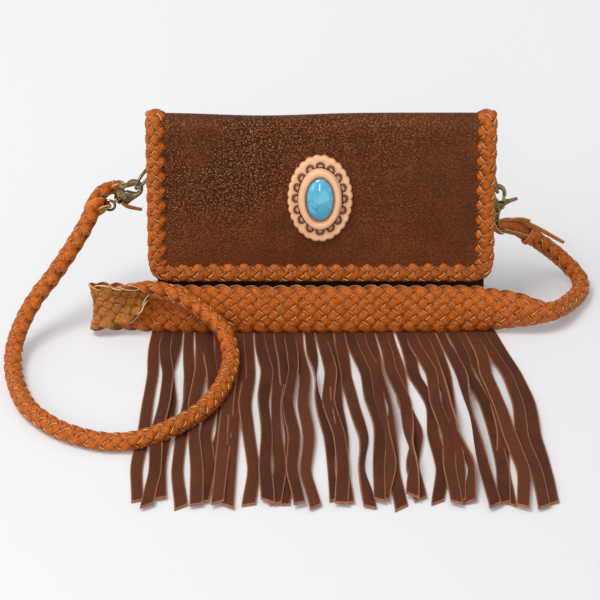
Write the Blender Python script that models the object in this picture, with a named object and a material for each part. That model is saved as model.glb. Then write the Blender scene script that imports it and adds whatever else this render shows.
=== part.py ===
"""A fringed suede bag: a flap bag with laced edges, an oval concho, a long fringe and a clip-on braided strap.

Metres, +Z up. The bag stands on its flat bottom at the origin, with its front facing -Y.
"""

import math
import random

import bmesh
import bpy
from mathutils import Matrix, Vector, geometry

# Leather, and the gap that touching pieces keep
LEATHER = 0.0022
GAP = 0.0003

# Body
BODY_WIDTH = 0.2574
BASE_DEPTH = 0.052
BODY_CORNER = 0.015
FRONT_DROP = 0.0064
MOUTH_CLEARANCE = 0.0023
HINGE_Y = 0.011
HINGE_HEIGHT = 0.1564
BACK_LACE_WIDTH = 0.012
BACK_LACE_DEPTH = 0.0051
BACK_LACE_OVERHANG = 0.0033

# Flap
FLAP_WIDTH = 0.271
FLAP_BOTTOM = 0.035
FLAP_SPREAD = math.radians(1.1)
FLAP_CORNER = 0.016
FOLD_RADIUS = 0.011
FLAP_LACE_WIDTH = 0.014
FLAP_LACE_DEPTH = 0.007
LOBE_LENGTH = 0.012
LOBE_SWELL = 0.30
LOBE_SCALLOP = 0.16
HINGE_CLEARANCE = 0.005

# Fringe
FRINGE_STRANDS = 34
STRAND_WIDTH = 0.0064
STRAND_THICKNESS = 0.0016
FRINGE_WIDTH = 0.262
FRINGE_TIP_LEFT = -0.136
FRINGE_TIP_RIGHT = 0.166
FRINGE_REACH = 0.297
FRINGE_RAGGED = 0.013
FRINGE_WAVE = 0.0035
HEM_BOTTOM = 0.005
HEM_TOP = 0.017
HEM_BEND = 0.005

# Concho, on the flap
CONCHO_HEIGHT = 0.1036
CONCHO_HALF_WIDTH = 0.0262
CONCHO_HALF_HEIGHT = 0.037
CONCHO_THICKNESS = 0.003
SCALLOPS = 28
SCALLOP_DEPTH = 0.0014
CRESCENTS = 16
CRESCENT_RADIUS = 0.0026
CRESCENT_DEPTH = 0.0008
RING_HALF_WIDTH = 0.0175
RING_HALF_HEIGHT = 0.0265
RING_BAND = 0.0058
RING_RISE = 0.0036
STONE_RISE = 0.0062

# Concho screw and snap
SCREW_RADIUS = 0.0022
SCREW_HEAD_RADIUS = 0.0045
SCREW_HEAD = 0.0012
SCREW_HEAD_CHAMFER = 0.0006
SNAP_ABOVE_EDGE = 0.027
SNAP_RADIUS = 0.007
SNAP_STUD = 0.0012
SNAP_CHAMFER = 0.0004
SNAP_PLAY = 0.0002
SNAP_PEG_RADIUS = 0.0024
SNAP_PEG_PLAY = 0.0008
SNAP_PEG_FLOOR = 0.0011

# Rings and their tabs: each height is measured down from the one above it
HARDWARE_Y = 0.001
TAB_DROP = 0.009
RIVET_DROP = 0.009
RING_BAR_DROP = 0.013
RING_WIRE = 0.0013
RING_WIDTH = 0.022
RING_REACH = 0.020
RING_CORNER = 0.0025
RING_HANG_LEFT = math.radians(51)
RING_HANG_RIGHT = math.radians(72)
TAB_WIDTH = 0.013
TAB_LEATHER = 0.0018
TAB_BEND = 0.0065
TAB_CHAMFER = 0.001
RIVET_RADIUS = 0.0015
RIVET_HEAD_RADIUS = 0.0035
RIVET_HEAD = 0.0010

# Clasps: u runs from the eye to the hook, v across, w through the thickness
CLASP_LEAN_LEFT = math.radians(38)
CLASP_LEAN_RIGHT = math.radians(85)
EYE_U = -0.0075
EYE_RADIUS = 0.0042
EYE_WIRE = 0.0011
COLLAR_RADIUS = 0.0038
COLLAR_WALL = 0.0016
COLLAR_WINDOW = 0.0044
STEM_RADIUS = 0.0013
STEM_HEAD_RADIUS = 0.0022
STEM_HEAD = 0.0013
BLOCK_START = 0.0036
BLOCK_END = 0.0095
BLOCK_HALF = 0.0027
BLOCK_SIDE = 0.0070
BLOCK_SHOULDER = 0.002
BLOCK_CHAMFER = 0.001
HOOK_HALF = 0.0016
HOOK_U = 0.0175
HOOK_INNER = 0.0042
HOOK_ROD = 0.0030
NOSE_U = 0.0162
NOSE_CHAMFER = 0.0004
SPINE_INNER = 0.0027
SPINE_TAPER = 0.0015
WIRE_SLACK = 0.0011
PIVOT_U = 0.0068
PIVOT_V = 0.0046
PIN_RADIUS = 0.0008
PIN_HEAD_RADIUS = 0.0015
PIN_HEAD = 0.0004
LEVER_HUB = 0.0021
LEVER_GATE_END = 0.0156
LEVER_NECK = 0.0030
LEVER_THICKNESS = 0.0024
THUMB_TAB = ((0.0052, 0.0), (0.0062, 0.0061), (0.0052, 0.0067), (0.0036, 0.0033), (0.0016, 0.0002))
LEVER_INNER = 0.0012
LEVER_OUTER = 0.0
SLOT_HALF = 0.0015
SLOT_FLOOR = 0.0008
SPRING_COIL = 0.0016
SPRING_WIRE = 0.00015
SPRING_TURNS = 1.5
CUTTER_OVER = 0.001

# Strap, in millimetres: x, y, z, half its height and half its thickness. The last number is its lean back.
STRAP_ROUTE = (
    (-157, 13, 97, 3.8, 3.8, 0.0),
    (-163, 11.3, 97.4, 4.4, 4.4, 0.0),
    (-170, 7, 96.6, 5.0, 5.0, 0.0),
    (-176.3, 0.3, 92.9, 5.1, 5.1, 0.0),
    (-179.5, -5.5, 84.6, 5.9, 5.9, 0.0),
    (-184.5, -14, 76, 6.5, 6.5, 0.0),
    (-196, -30.5, 62.5, 6.5, 6.5, 0.0),
    (-208.5, -43, 48, 6.5, 6.5, 0.0),
    (-222.5, -56, 33.5, 6.5, 6.5, 0.0),
    (-233, -75, 19, 6.5, 6.5, 0.0),
    (-236.5, -101, 10, 6.5, 6.5, 0.0),
    (-232, -133, 6.8, 6.5, 6.5, 0.0),
    (-220, -169, 6.8, 6.5, 6.5, 0.0),
    (-200, -195, 6.8, 6.5, 6.5, 0.0),
    (-178.5, -210, 6.8, 6.5, 6.5, 0.0),
    (-155, -217.5, 6.9, 6.5, 6.5, 0.0),
    (-132, -215, 8.2, 6.5, 6.5, 0.0),
    (-111, -202, 9.4, 6.5, 6.5, 0.0),
    (-91, -180, 9.4, 6.5, 6.5, 0.0),
    (-77, -150, 9.4, 6.5, 6.5, 0.0),
    (-70, -115, 9.6, 6.5, 6.5, 0.0),
    (-71.2, -93, 13.6, 6.5, 6.5, 0.0),
    (-76, -80, 18.8, 6.5, 6.5, 0.0),
    (-84.5, -68.5, 23.4, 6.5, 6.5, 0.0),
    (-95, -59.5, 28, 6.5, 6.5, 0.0),
    (-108.5, -54, 34.2, 6.5, 6.5, 0.0),
    (-121.5, -52, 39, 6.5, 6.4, 0.0),
    (-132, -51.5, 40, 7.0, 6.0, 0.0),
    (-141, -51.5, 38, 9.5, 4.8, 0.0),
    (-149.5, -52, 33.4, 14, 3.4, 0.0),
    (-158, -52.5, 29.2, 17.5, 2.3, 0.0),
    (-166.5, -52.8, 27, 18, 2.1, 0.05),
    (-173.5, -51.6, 25, 18, 2.0, 0.12),
    (-177.8, -48, 23, 18, 2.0, 0.20),
    (-176, -43.8, 21.5, 18, 2.0, 0.27),
    (-168, -42.4, 20.5, 18, 2.0, 0.30),
    (-154, -43.4, 20.3, 18, 2.0, 0.30),
    (-136, -45.4, 20.3, 18, 2.0, 0.30),
    (-95, -47, 20.3, 18, 2.0, 0.30),
    (-40, -47.8, 20.3, 18, 2.0, 0.30),
    (15, -47.6, 20.3, 18, 2.0, 0.30),
    (70, -47.2, 20.3, 18, 2.0, 0.30),
    (115, -47, 20, 17.5, 2.0, 0.30),
    (146, -48.4, 19, 15, 2.6, 0.20),
    (165, -48.4, 17.5, 11, 4.0, 0.10),
    (179, -43.5, 15.5, 7.6, 5.8, 0.0),
    (190, -31, 12.5, 6.5, 6.5, 0.0),
    (197.5, -18, 10, 6.5, 6.5, 0.0),
    (205, -4, 8, 6.5, 6.5, 0.0),
    (209, 9, 7.2, 6.5, 6.5, 0.0),
    (209, 21, 8.3, 6.5, 6.5, 0.0),
    (204, 30, 12, 6.5, 6.5, 0.0),
    (195.5, 35, 19, 6.5, 6.5, 0.0),
    (186, 36.5, 27, 6.5, 6.5, 0.0),
    (176.5, 35.5, 35, 6.5, 6.5, 0.0),
    (167, 32, 44, 6.5, 6.5, 0.0),
    (157, 26, 53, 6.5, 6.5, 0.0),
    (149, 17.8, 60, 6.2, 6.2, 0.0),
    (142.2, 8.8, 64.2, 5.2, 5.2, 0.0),
    (139, 3.5, 65.3, 3.6, 3.6, 0.0),
)
STRAP_SIDES = 10
STRAP_STEP = 0.013
TAIL_RADIUS = 0.0013
TAILS = (
    ((-160, 12.2, 97.3), (-154, 13.4, 98), (-149, 13.8, 99), (-144.8, 14, 101)),
    ((-163, 11.3, 96), (-160, 13, 88), (-154, 14, 80), (-147, 14.5, 77.3), (-141.5, 14.5, 76.2)),
    ((141.8, 8.3, 64), (139.6, 9.5, 73), (142.5, 9.5, 81.5), (148.5, 9.5, 86.2), (155.2, 9.5, 88.8)),
    ((149, 17.8, 60.5), (154, 21, 62), (162, 25, 59.5), (176, 29, 50.5), (187, 29.5, 43.5), (196, 29, 38.3)),
)

# Colours
TAN = (0.58, 0.17, 0.032)
BROWN = (0.098, 0.027, 0.010)
SUEDE = (0.089, 0.025, 0.011)
CONCHO_TAN = (0.82, 0.37, 0.20)
TURQUOISE = (0.08, 0.45, 0.68)
BRASS = (0.20, 0.14, 0.06)

# Worked out from the sizes above
HALF_BODY = BODY_WIDTH / 2
FRONT_HEIGHT = HINGE_HEIGHT - FRONT_DROP
MOUTH_FRONT = HINGE_Y - 2 * FOLD_RADIUS + LEATHER + MOUTH_CLEARANCE
FRONT_SLOPE = (BASE_DEPTH / 2 + MOUTH_FRONT) / FRONT_HEIGHT
BACK_SLOPE = (BASE_DEPTH / 2 - HINGE_Y) / HINGE_HEIGHT
FLAP_LEAN = math.atan(FRONT_SLOPE) + FLAP_SPREAD
FOLD_MIDDLE = FOLD_RADIUS - LEATHER / 2
FOLD_ANGLE = math.pi - FLAP_LEAN
FOLD_LENGTH = FOLD_MIDDLE * FOLD_ANGLE
FOLD_CENTRE_Y = HINGE_Y - FOLD_RADIUS
FOLD_END_Z = HINGE_HEIGHT + FOLD_MIDDLE * math.sin(FOLD_ANGLE)
FLAP_LENGTH = FOLD_LENGTH + (FOLD_END_Z - FLAP_BOTTOM) / math.cos(FLAP_LEAN)
HINGE_POINT = Vector((0, HINGE_Y, HINGE_HEIGHT))
SNAP_HEIGHT = FLAP_BOTTOM + SNAP_ABOVE_EDGE
TAB_TOP = FRONT_HEIGHT - TAB_DROP
RIVET_HEIGHT = TAB_TOP - RIVET_DROP
RING_BAR_HEIGHT = RIVET_HEIGHT - RING_BAR_DROP
TAB_RADIUS = RING_WIRE + GAP + TAB_LEATHER
RING_BAR_X = HALF_BODY + GAP + TAB_RADIUS
HOOK_WIRE_U = HOOK_U + HOOK_INNER - RING_WIRE - WIRE_SLACK


def material(name, colour, roughness, metallic=0.0):
    """A Principled material, made once."""
    made = bpy.data.materials.get(name) or bpy.data.materials.new(name)
    made.use_nodes = True
    shader = made.node_tree.nodes["Principled BSDF"]
    shader.inputs["Base Color"].default_value = (*colour, 1)
    shader.inputs["Roughness"].default_value = roughness
    shader.inputs["Metallic"].default_value = metallic
    return made


def brown_leather():
    return material("brown leather", BROWN, 0.55)


def tan_lace():
    return material("tan lace", TAN, 0.5)


def suede():
    return material("suede", SUEDE, 0.9)


def tooled_leather():
    return material("tooled leather", CONCHO_TAN, 0.45)


def brass():
    return material("antique brass", BRASS, 0.35, 1.0)


def add_object(name, bm, look, smooth=30):
    """Make an object of the mesh, with its faces turned outwards and its round parts smooth."""
    bmesh.ops.remove_doubles(bm, verts=bm.verts, dist=1e-7)
    bmesh.ops.recalc_face_normals(bm, faces=bm.faces)
    mesh = bpy.data.meshes.new(name)
    bm.to_mesh(mesh)
    bm.free()
    mesh.shade_smooth()
    mesh.set_sharp_from_angle(angle=math.radians(smooth))
    obj = bpy.data.objects.new(name, mesh)
    bpy.context.scene.collection.objects.link(obj)
    obj.data.materials.append(look)
    return obj


def add_axis(name, place):
    """An empty that stands on a joint's axis and carries the pieces of one moving body."""
    axis = bpy.data.objects.new(name, None)
    axis.matrix_world = place
    axis.empty_display_size = 0.01
    bpy.context.scene.collection.objects.link(axis)
    return axis


def carry(obj, axis, local=False):
    """Put the object on the axis. Its mesh is in the axis's own space, or is moved there from world space."""
    if not local:
        obj.data.transform(axis.matrix_world.inverted())
    obj.parent = axis


def loft(rings, closed=False):
    """Skin a row of equal rings, with flat caps at the two ends unless the row closes on itself."""
    bm = bmesh.new()
    rows = [[bm.verts.new(point) for point in ring] for ring in rings]
    pairs = list(zip(rows, rows[1:]))
    if closed:
        pairs.append((rows[-1], rows[0]))
    else:
        bm.faces.new(rows[0])
        bm.faces.new(rows[-1][::-1])
    for first, second in pairs:
        for i in range(len(first)):
            j = (i + 1) % len(first)
            bm.faces.new((first[i], first[j], second[j], second[i]))
    return bm


def prism(outlines, place):
    """Extrude an outline with holes. place turns (a, b, side) into a point on the face 0 or 1."""
    bm = bmesh.new()
    flat = [[Vector((a, b, 0)) for a, b in outline] for outline in outlines]
    corners = [point for outline in flat for point in outline]
    sides = [[bm.verts.new(place(p.x, p.y, side)) for p in corners] for side in (0, 1)]
    for a, b, c in geometry.tessellate_polygon(flat):
        bm.faces.new((sides[0][a], sides[0][b], sides[0][c]))
        bm.faces.new((sides[1][c], sides[1][b], sides[1][a]))
    start = 0
    for outline in flat:
        for i in range(len(outline)):
            here = start + i
            there = start + (i + 1) % len(outline)
            bm.faces.new((sides[0][here], sides[0][there], sides[1][there], sides[1][here]))
        start += len(outline)
    return bm


def turned(profile, place, segments=16):
    """Turn a profile of (distance along the axis, radius). place turns (along, across, up) into a point."""
    angles = [2 * math.pi * i / segments for i in range(segments)]
    return loft([[place(along, r * math.cos(t), r * math.sin(t)) for t in angles] for along, r in profile])


def arc(x, y, radius, start, end, steps):
    """Points on an arc, with its angles in degrees."""
    angles = [math.radians(start + (end - start) * i / steps) for i in range(steps + 1)]
    return [(x + radius * math.cos(t), y + radius * math.sin(t)) for t in angles]


def combine(obj, other, operation):
    """A Boolean with a hidden helper object."""
    other.hide_render = True
    other.display_type = "WIRE"
    modifier = obj.modifiers.new(operation.lower(), "BOOLEAN")
    modifier.operation = operation
    modifier.object = other
    modifier.solver = "EXACT"


def front_y(z, depth=0.0):
    """Y on the front panel's outer face, or so far inside it."""
    return -BASE_DEPTH / 2 + FRONT_SLOPE * z + depth


def back_y(z, depth=0.0):
    """Y on the back panel's outer face, or so far inside it."""
    return BASE_DEPTH / 2 - BACK_SLOPE * z - depth


def flap_point(s, out=0.0):
    """Y and Z at the distance s along the flap from its hinge, and so far out from its middle."""
    angle = min(max(s / FOLD_MIDDLE, 0.0), FOLD_ANGLE)
    straight = max(s - FOLD_LENGTH, 0.0)
    y = FOLD_CENTRE_Y + (FOLD_MIDDLE + out) * math.cos(angle) - straight * math.sin(FLAP_LEAN)
    z = HINGE_HEIGHT + (FOLD_MIDDLE + out) * math.sin(angle) - straight * math.cos(FLAP_LEAN)
    return y, z


def flap_place(x, s, out):
    y, z = flap_point(s, out)
    return Vector((x, y, z))


def flap_distance(z):
    """The distance along the flap of a height on its straight front."""
    return FOLD_LENGTH + (FOLD_END_Z - z) / math.cos(FLAP_LEAN)


def body_outline(inset, top):
    """The body's outline in X and Z, with rounded lower corners."""
    half = HALF_BODY - inset
    radius = BODY_CORNER - inset
    right = arc(half - radius, BODY_CORNER, radius, 0, -90, 6)
    left = arc(radius - half, BODY_CORNER, radius, -90, -180, 6)
    return [(half, top), *right, *left, (-half, top)]


def build_front_panel():
    outline = body_outline(0.0, FRONT_HEIGHT)
    bm = prism([outline], lambda x, z, side: Vector((x, front_y(z, side * LEATHER), z)))
    return add_object("front_panel", bm, brown_leather())


def build_back_panel():
    """The back ends where its laces begin, and just below the flap's hinge."""
    half = HALF_BODY - BACK_LACE_WIDTH + BACK_LACE_OVERHANG - GAP
    top = HINGE_HEIGHT - GAP
    outline = [(half, top), (half, 0), (-half, 0), (-half, top)]
    bm = prism([outline], lambda x, z, side: Vector((x, back_y(z, side * LEATHER), z)))
    return add_object("back_panel", bm, brown_leather())


def build_gusset():
    """One U-shaped strip between the panels: both sides and the bottom."""
    outline = body_outline(0.0, FRONT_HEIGHT) + body_outline(LEATHER, FRONT_HEIGHT)[::-1]
    inside = LEATHER + GAP
    faces = (front_y, back_y)
    bm = prism([outline], lambda x, z, side: Vector((x, faces[side](z, inside), z)))
    gusset = add_object("gusset", bm, brown_leather())
    for sign in (-1, 1):
        combine(gusset, rivet_bore(sign), "DIFFERENCE")
    return gusset


def lace_rings(path, length, width, depth):
    """Rings of a laced edge: a flat band that swells once a lobe. path gives its point, across and out."""
    lobes = round(length / LOBE_LENGTH)
    phases = (0.0, 0.22, 0.5, 0.78)
    distances = [(lobe + phase) * length / lobes for lobe in range(lobes) for phase in phases]
    rings = []
    for distance in [*distances, length]:
        dip = 1 - math.sin(math.pi * (distance / length * lobes % 1.0))
        point, across, out = path(distance)
        thick = depth / 2 * (1 - LOBE_SWELL * dip)
        inner = width / 2 * (1 - LOBE_SCALLOP * dip)
        ring = []
        for i in range(8):
            angle = math.pi * i / 4
            reach = width / 2 if math.cos(angle) > 0 else inner
            ring.append(point + across * (reach * math.cos(angle)) + out * (thick * math.sin(angle)))
        rings.append(ring)
    return rings


def build_back_lace(sign):
    """The laced edge at one side of the back panel, on its outer side."""
    name = "back_lace_left" if sign < 0 else "back_lace_right"
    x = sign * (HALF_BODY + BACK_LACE_OVERHANG - BACK_LACE_WIDTH / 2)
    length = HINGE_HEIGHT - HINGE_CLEARANCE - GAP

    def path(distance):
        z = GAP + distance
        y = back_y(z, LEATHER) + BACK_LACE_DEPTH / 2
        return Vector((x, y, z)), Vector((sign, 0, 0)), Vector((0, 1, 0))

    rings = lace_rings(path, length, BACK_LACE_WIDTH, BACK_LACE_DEPTH)
    return add_object(name, loft(rings), tan_lace(), 60)


def flap_half_width(s):
    """Half the width of the flap's leather inside its lace, which narrows at the lower corners."""
    half = FLAP_WIDTH / 2 - FLAP_LACE_WIDTH - GAP
    radius = max(FLAP_CORNER - FLAP_LACE_WIDTH, 0.001)
    end = FLAP_LENGTH - FLAP_LACE_WIDTH - GAP
    below = s - (end - radius)
    if below <= 0:
        return half
    return half - radius + math.sqrt(max(radius * radius - below * below, 0.0))


def build_flap():
    """The flap's leather: over the top in a round fold, then straight down the front."""
    end = FLAP_LENGTH - FLAP_LACE_WIDTH - GAP
    radius = max(FLAP_CORNER - FLAP_LACE_WIDTH, 0.001)
    fold = [GAP + (FOLD_LENGTH - GAP) * i / 12 for i in range(13)]
    straight = [FOLD_LENGTH + (end - radius - FOLD_LENGTH) * i / 4 for i in range(1, 5)]
    corner = [end - radius + radius * math.sin(math.radians(22.5 * i)) for i in range(1, 5)]
    rings = []
    for s in fold + straight + corner:
        half = flap_half_width(s)
        ring = [(half, LEATHER / 2), (-half, LEATHER / 2), (-half, -LEATHER / 2), (half, -LEATHER / 2)]
        rings.append([flap_place(x, s, out) for x, out in ring])
    flap = add_object("flap", loft(rings), brown_leather())
    combine(flap, flap_bore("concho_screw_bore", SCREW_RADIUS + GAP), "DIFFERENCE")
    return flap


def flap_edge_sizes():
    """The flap lace's middle line: half its width, its bottom, its corner radius and half its length."""
    half = (FLAP_WIDTH - FLAP_LACE_WIDTH) / 2
    bottom = FLAP_LENGTH - FLAP_LACE_WIDTH / 2
    radius = FLAP_CORNER - FLAP_LACE_WIDTH / 2
    length = bottom - radius - HINGE_CLEARANCE + math.pi / 2 * radius + half - radius
    return half, bottom, radius, length


def flap_edge(distance):
    """The flap lace's middle line in X and s, with its outward direction, from the right end to the left."""
    half, bottom, radius, length = flap_edge_sizes()
    if distance > length:
        x, s, out_x, out_s = flap_edge(2 * length - distance)
        return -x, s, -out_x, out_s
    side = bottom - radius - HINGE_CLEARANCE
    angle = min(max((distance - side) / radius, 0.0), math.pi / 2)
    past = max(distance - side - radius * math.pi / 2, 0.0)
    x = half - radius + radius * math.cos(angle) - past
    s = HINGE_CLEARANCE + min(distance, side) + radius * math.sin(angle)
    return x, s, math.cos(angle), math.sin(angle)


def build_flap_lace():
    """The thick laced edge round the flap's sides and bottom."""

    def path(distance):
        x, s, out_x, out_s = flap_edge(distance)
        point = flap_place(x, s, 0.0)
        down = (flap_place(x, s + 1e-4, 0.0) - flap_place(x, s - 1e-4, 0.0)).normalized()
        across = Vector((1, 0, 0)) * out_x + down * out_s
        return point, across, down.cross(Vector((1, 0, 0)))

    rings = lace_rings(path, 2 * flap_edge_sizes()[3], FLAP_LACE_WIDTH, FLAP_LACE_DEPTH)
    return add_object("flap_lace", loft(rings), tan_lace(), 60)


def concho_place(x, t, out):
    """A point on the concho: x across, t down along the flap, out from the flap's outer face."""
    return flap_place(x, flap_distance(CONCHO_HEIGHT) + t, LEATHER / 2 + GAP + out)


def flap_bore(name, radius):
    """A bore through the flap for the concho's screw."""
    reach = LEATHER + GAP
    profile = [(-2 * reach, radius), (reach, radius)]
    bm = turned(profile, lambda along, a, b: concho_place(a, b, along), 12)
    return add_object(name, bm, brass())


def oval(half_width, half_height, count, out):
    angles = [2 * math.pi * i / count for i in range(count)]
    return [concho_place(half_width * math.cos(t), half_height * math.sin(t), out) for t in angles]


def scalloped(out, inset):
    """The concho's outline: an oval whose edge swells once a scallop."""
    count = SCALLOPS * 5
    ring = []
    for i in range(count):
        angle = 2 * math.pi * i / count
        swell = SCALLOP_DEPTH * (abs(math.sin(angle * SCALLOPS / 2)) - 1) - inset
        x = (CONCHO_HALF_WIDTH + swell) * math.cos(angle)
        t = (CONCHO_HALF_HEIGHT + swell) * math.sin(angle)
        ring.append(concho_place(x, t, out))
    return ring


def crescent_stamp(index):
    """One stamped crescent, which opens towards the concho's middle."""
    angle = 2 * math.pi * (index + 0.5) / CRESCENTS
    x = (CONCHO_HALF_WIDTH + RING_HALF_WIDTH) / 2 * math.cos(angle)
    t = (CONCHO_HALF_HEIGHT + RING_HALF_HEIGHT) / 2 * math.sin(angle)
    facing = math.degrees(math.atan2(t, x))
    outer = arc(0, 0, CRESCENT_RADIUS, facing - 80, facing + 80, 6)
    inner = arc(0, 0, CRESCENT_RADIUS * 0.6, facing + 60, facing - 60, 4)
    top = CONCHO_THICKNESS + 0.001
    floor = CONCHO_THICKNESS - CRESCENT_DEPTH
    heights = (floor, top)
    return prism([outer + inner], lambda a, b, side: concho_place(x + a, t + b, heights[side]))


def build_concho_base():
    """The scalloped leather oval, with a ring of stamped crescents and a blind hole for its screw."""
    chamfer = 0.0006
    rings = [
        scalloped(0.0, chamfer),
        scalloped(chamfer, 0.0),
        scalloped(CONCHO_THICKNESS - chamfer, 0.0),
        scalloped(CONCHO_THICKNESS, chamfer),
    ]
    base = add_object("concho_base", loft(rings), tooled_leather())
    stamps = bmesh.new()
    for index in range(CRESCENTS):
        one = crescent_stamp(index)
        mesh = bpy.data.meshes.new("crescent")
        one.to_mesh(mesh)
        one.free()
        stamps.from_mesh(mesh)
    combine(base, add_object("crescent_stamps", stamps, tooled_leather()), "DIFFERENCE")
    radius = SCREW_RADIUS + GAP
    profile = [(-GAP, radius), (CONCHO_THICKNESS / 2 + GAP, radius)]
    hole = turned(profile, lambda along, a, b: concho_place(a, b, along), 12)
    combine(base, add_object("concho_hole", hole, brass()), "DIFFERENCE")
    return base


def build_concho_ring():
    """The raised smooth oval round the stone."""
    section = ((0.0, 0.0), (0.0, 0.35), (0.2, 0.85), (0.5, 1.0), (0.8, 0.85), (1.0, 0.35), (1.0, 0.0))
    seat = CONCHO_THICKNESS + GAP
    rings = []
    for inward, rise in section:
        inset = inward * RING_BAND
        rings.append(oval(RING_HALF_WIDTH - inset, RING_HALF_HEIGHT - inset, 40, seat + rise * RING_RISE))
    bm = loft(rings, closed=True)
    return add_object("concho_ring", bm, tooled_leather(), 60)


def build_stone():
    """The turquoise, a low dome inside the ring."""
    half_width = RING_HALF_WIDTH - RING_BAND - GAP
    half_height = RING_HALF_HEIGHT - RING_BAND - GAP
    seat = CONCHO_THICKNESS + GAP
    rings = [oval(half_width, half_height, 32, seat)]
    for step in range(1, 7):
        angle = math.radians(15 * step - 4)
        size = math.cos(angle)
        rings.append(oval(half_width * size, half_height * size, 32, seat + STONE_RISE * math.sin(angle)))
    return add_object("turquoise_stone", loft(rings), material("turquoise", TURQUOISE, 0.12), 60)


def build_concho_screw():
    """The screw that holds the concho: its head is inside the flap and its shank is in the concho's hole."""
    inside = -GAP - LEATHER - GAP
    profile = [
        (inside - SCREW_HEAD, SCREW_HEAD_RADIUS - SCREW_HEAD_CHAMFER),
        (inside - SCREW_HEAD / 2, SCREW_HEAD_RADIUS),
        (inside, SCREW_HEAD_RADIUS),
        (inside, SCREW_RADIUS),
        (CONCHO_THICKNESS / 2, SCREW_RADIUS),
    ]
    bm = turned(profile, lambda along, a, b: concho_place(a, b, along))
    return add_object("concho_screw", bm, brass())


def snap_place(along, a, b):
    """A point on the snap: along is the distance in from the flap's inner face."""
    return flap_place(a, flap_distance(SNAP_HEIGHT) + b, -LEATHER / 2 - GAP - along)


def socket_height():
    """What the stud leaves of the room between the flap and the front panel."""
    y, z = flap_point(flap_distance(SNAP_HEIGHT), -LEATHER / 2)
    room = (front_y(z) - y) * math.cos(math.atan(FRONT_SLOPE))
    return room - 3 * GAP - SNAP_STUD - SNAP_PLAY


def build_snap_stud():
    """The snap's upper half on the flap, with its peg."""
    peg = socket_height() - SNAP_PEG_FLOOR
    profile = [
        (0.0, SNAP_RADIUS - SNAP_CHAMFER),
        (SNAP_STUD / 2, SNAP_RADIUS),
        (SNAP_STUD, SNAP_RADIUS - SNAP_CHAMFER),
        (SNAP_STUD, SNAP_PEG_RADIUS),
        (SNAP_STUD + peg, SNAP_PEG_RADIUS - SNAP_CHAMFER),
    ]
    return add_object("snap_stud", turned(profile, snap_place), brass())


def build_snap_socket():
    """The snap's lower half on the front panel, square to it, with a hole for the peg."""
    hinge_reach = snap_place(SNAP_STUD, 0, 0)
    slope = math.atan(FRONT_SLOPE)
    normal = Vector((0, -math.cos(slope), math.sin(slope)))
    up = Vector((0, math.sin(slope), math.cos(slope)))
    seat = Vector((0, front_y(hinge_reach.z), hinge_reach.z)) + normal * GAP

    def place(along, a, b):
        return seat + Vector((a, 0, 0)) + up * b + normal * along

    hole = SNAP_PEG_RADIUS + SNAP_PEG_PLAY
    height = socket_height()
    profile = [
        (0.0, hole),
        (0.0, SNAP_RADIUS),
        (height - SNAP_CHAMFER, SNAP_RADIUS),
        (height, SNAP_RADIUS - SNAP_CHAMFER),
        (height, hole),
    ]
    angles = [2 * math.pi * i / 16 for i in range(16)]
    rings = [[place(along, r * math.cos(t), r * math.sin(t)) for t in angles] for along, r in profile]
    return add_object("snap_socket", loft(rings, closed=True), brass())


def strand_path(index):
    """The middle line of one fringe strand, from the hem down to the table and forward to its tip."""
    chance = random.Random(index)
    share = (index + 0.5) / FRINGE_STRANDS
    root = FRINGE_WIDTH * (share - 0.5)
    tip = FRINGE_TIP_LEFT + (FRINGE_TIP_RIGHT - FRINGE_TIP_LEFT) * share
    reach = FRINGE_REACH - FRINGE_RAGGED * chance.random()
    hem = front_y(HEM_BOTTOM) - GAP - STRAND_THICKNESS / 2
    flat = STRAND_THICKNESS / 2
    bend = ((0.12, 0.64), (0.44, 0.28))
    points = [(root, hem - HEM_BEND * forward, HEM_BOTTOM * height) for forward, height in bend]
    points.append((root, hem - HEM_BEND, flat))
    steps = 10
    for step in range(1, steps + 1):
        along = step / steps
        wave = FRINGE_WAVE * math.sin(2 * math.pi * (1.2 * along + 0.02 * index)) * min(1.0, 2 * along)
        x = root + (tip - root) * along**1.3 + wave
        points.append((x, hem - HEM_BEND + (HEM_BEND - reach - hem) * along, flat))
    return [Vector(point) for point in points]


def strand_ring(points, index):
    """The four corners of a strand's section at one point of its path."""
    before = points[max(index - 1, 0)]
    after = points[min(index + 1, len(points) - 1)]
    along = (after - before).normalized()
    across = Vector((-along.y, along.x, 0)).normalized() if abs(along.y) > 1e-6 else Vector((1, 0, 0))
    up = across.cross(along).normalized()
    half = across * (STRAND_WIDTH / 2)
    lift = up * (STRAND_THICKNESS / 2)
    left = points[index] - half
    right = points[index] + half
    return [left + lift, right + lift, right - lift, left - lift]


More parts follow.
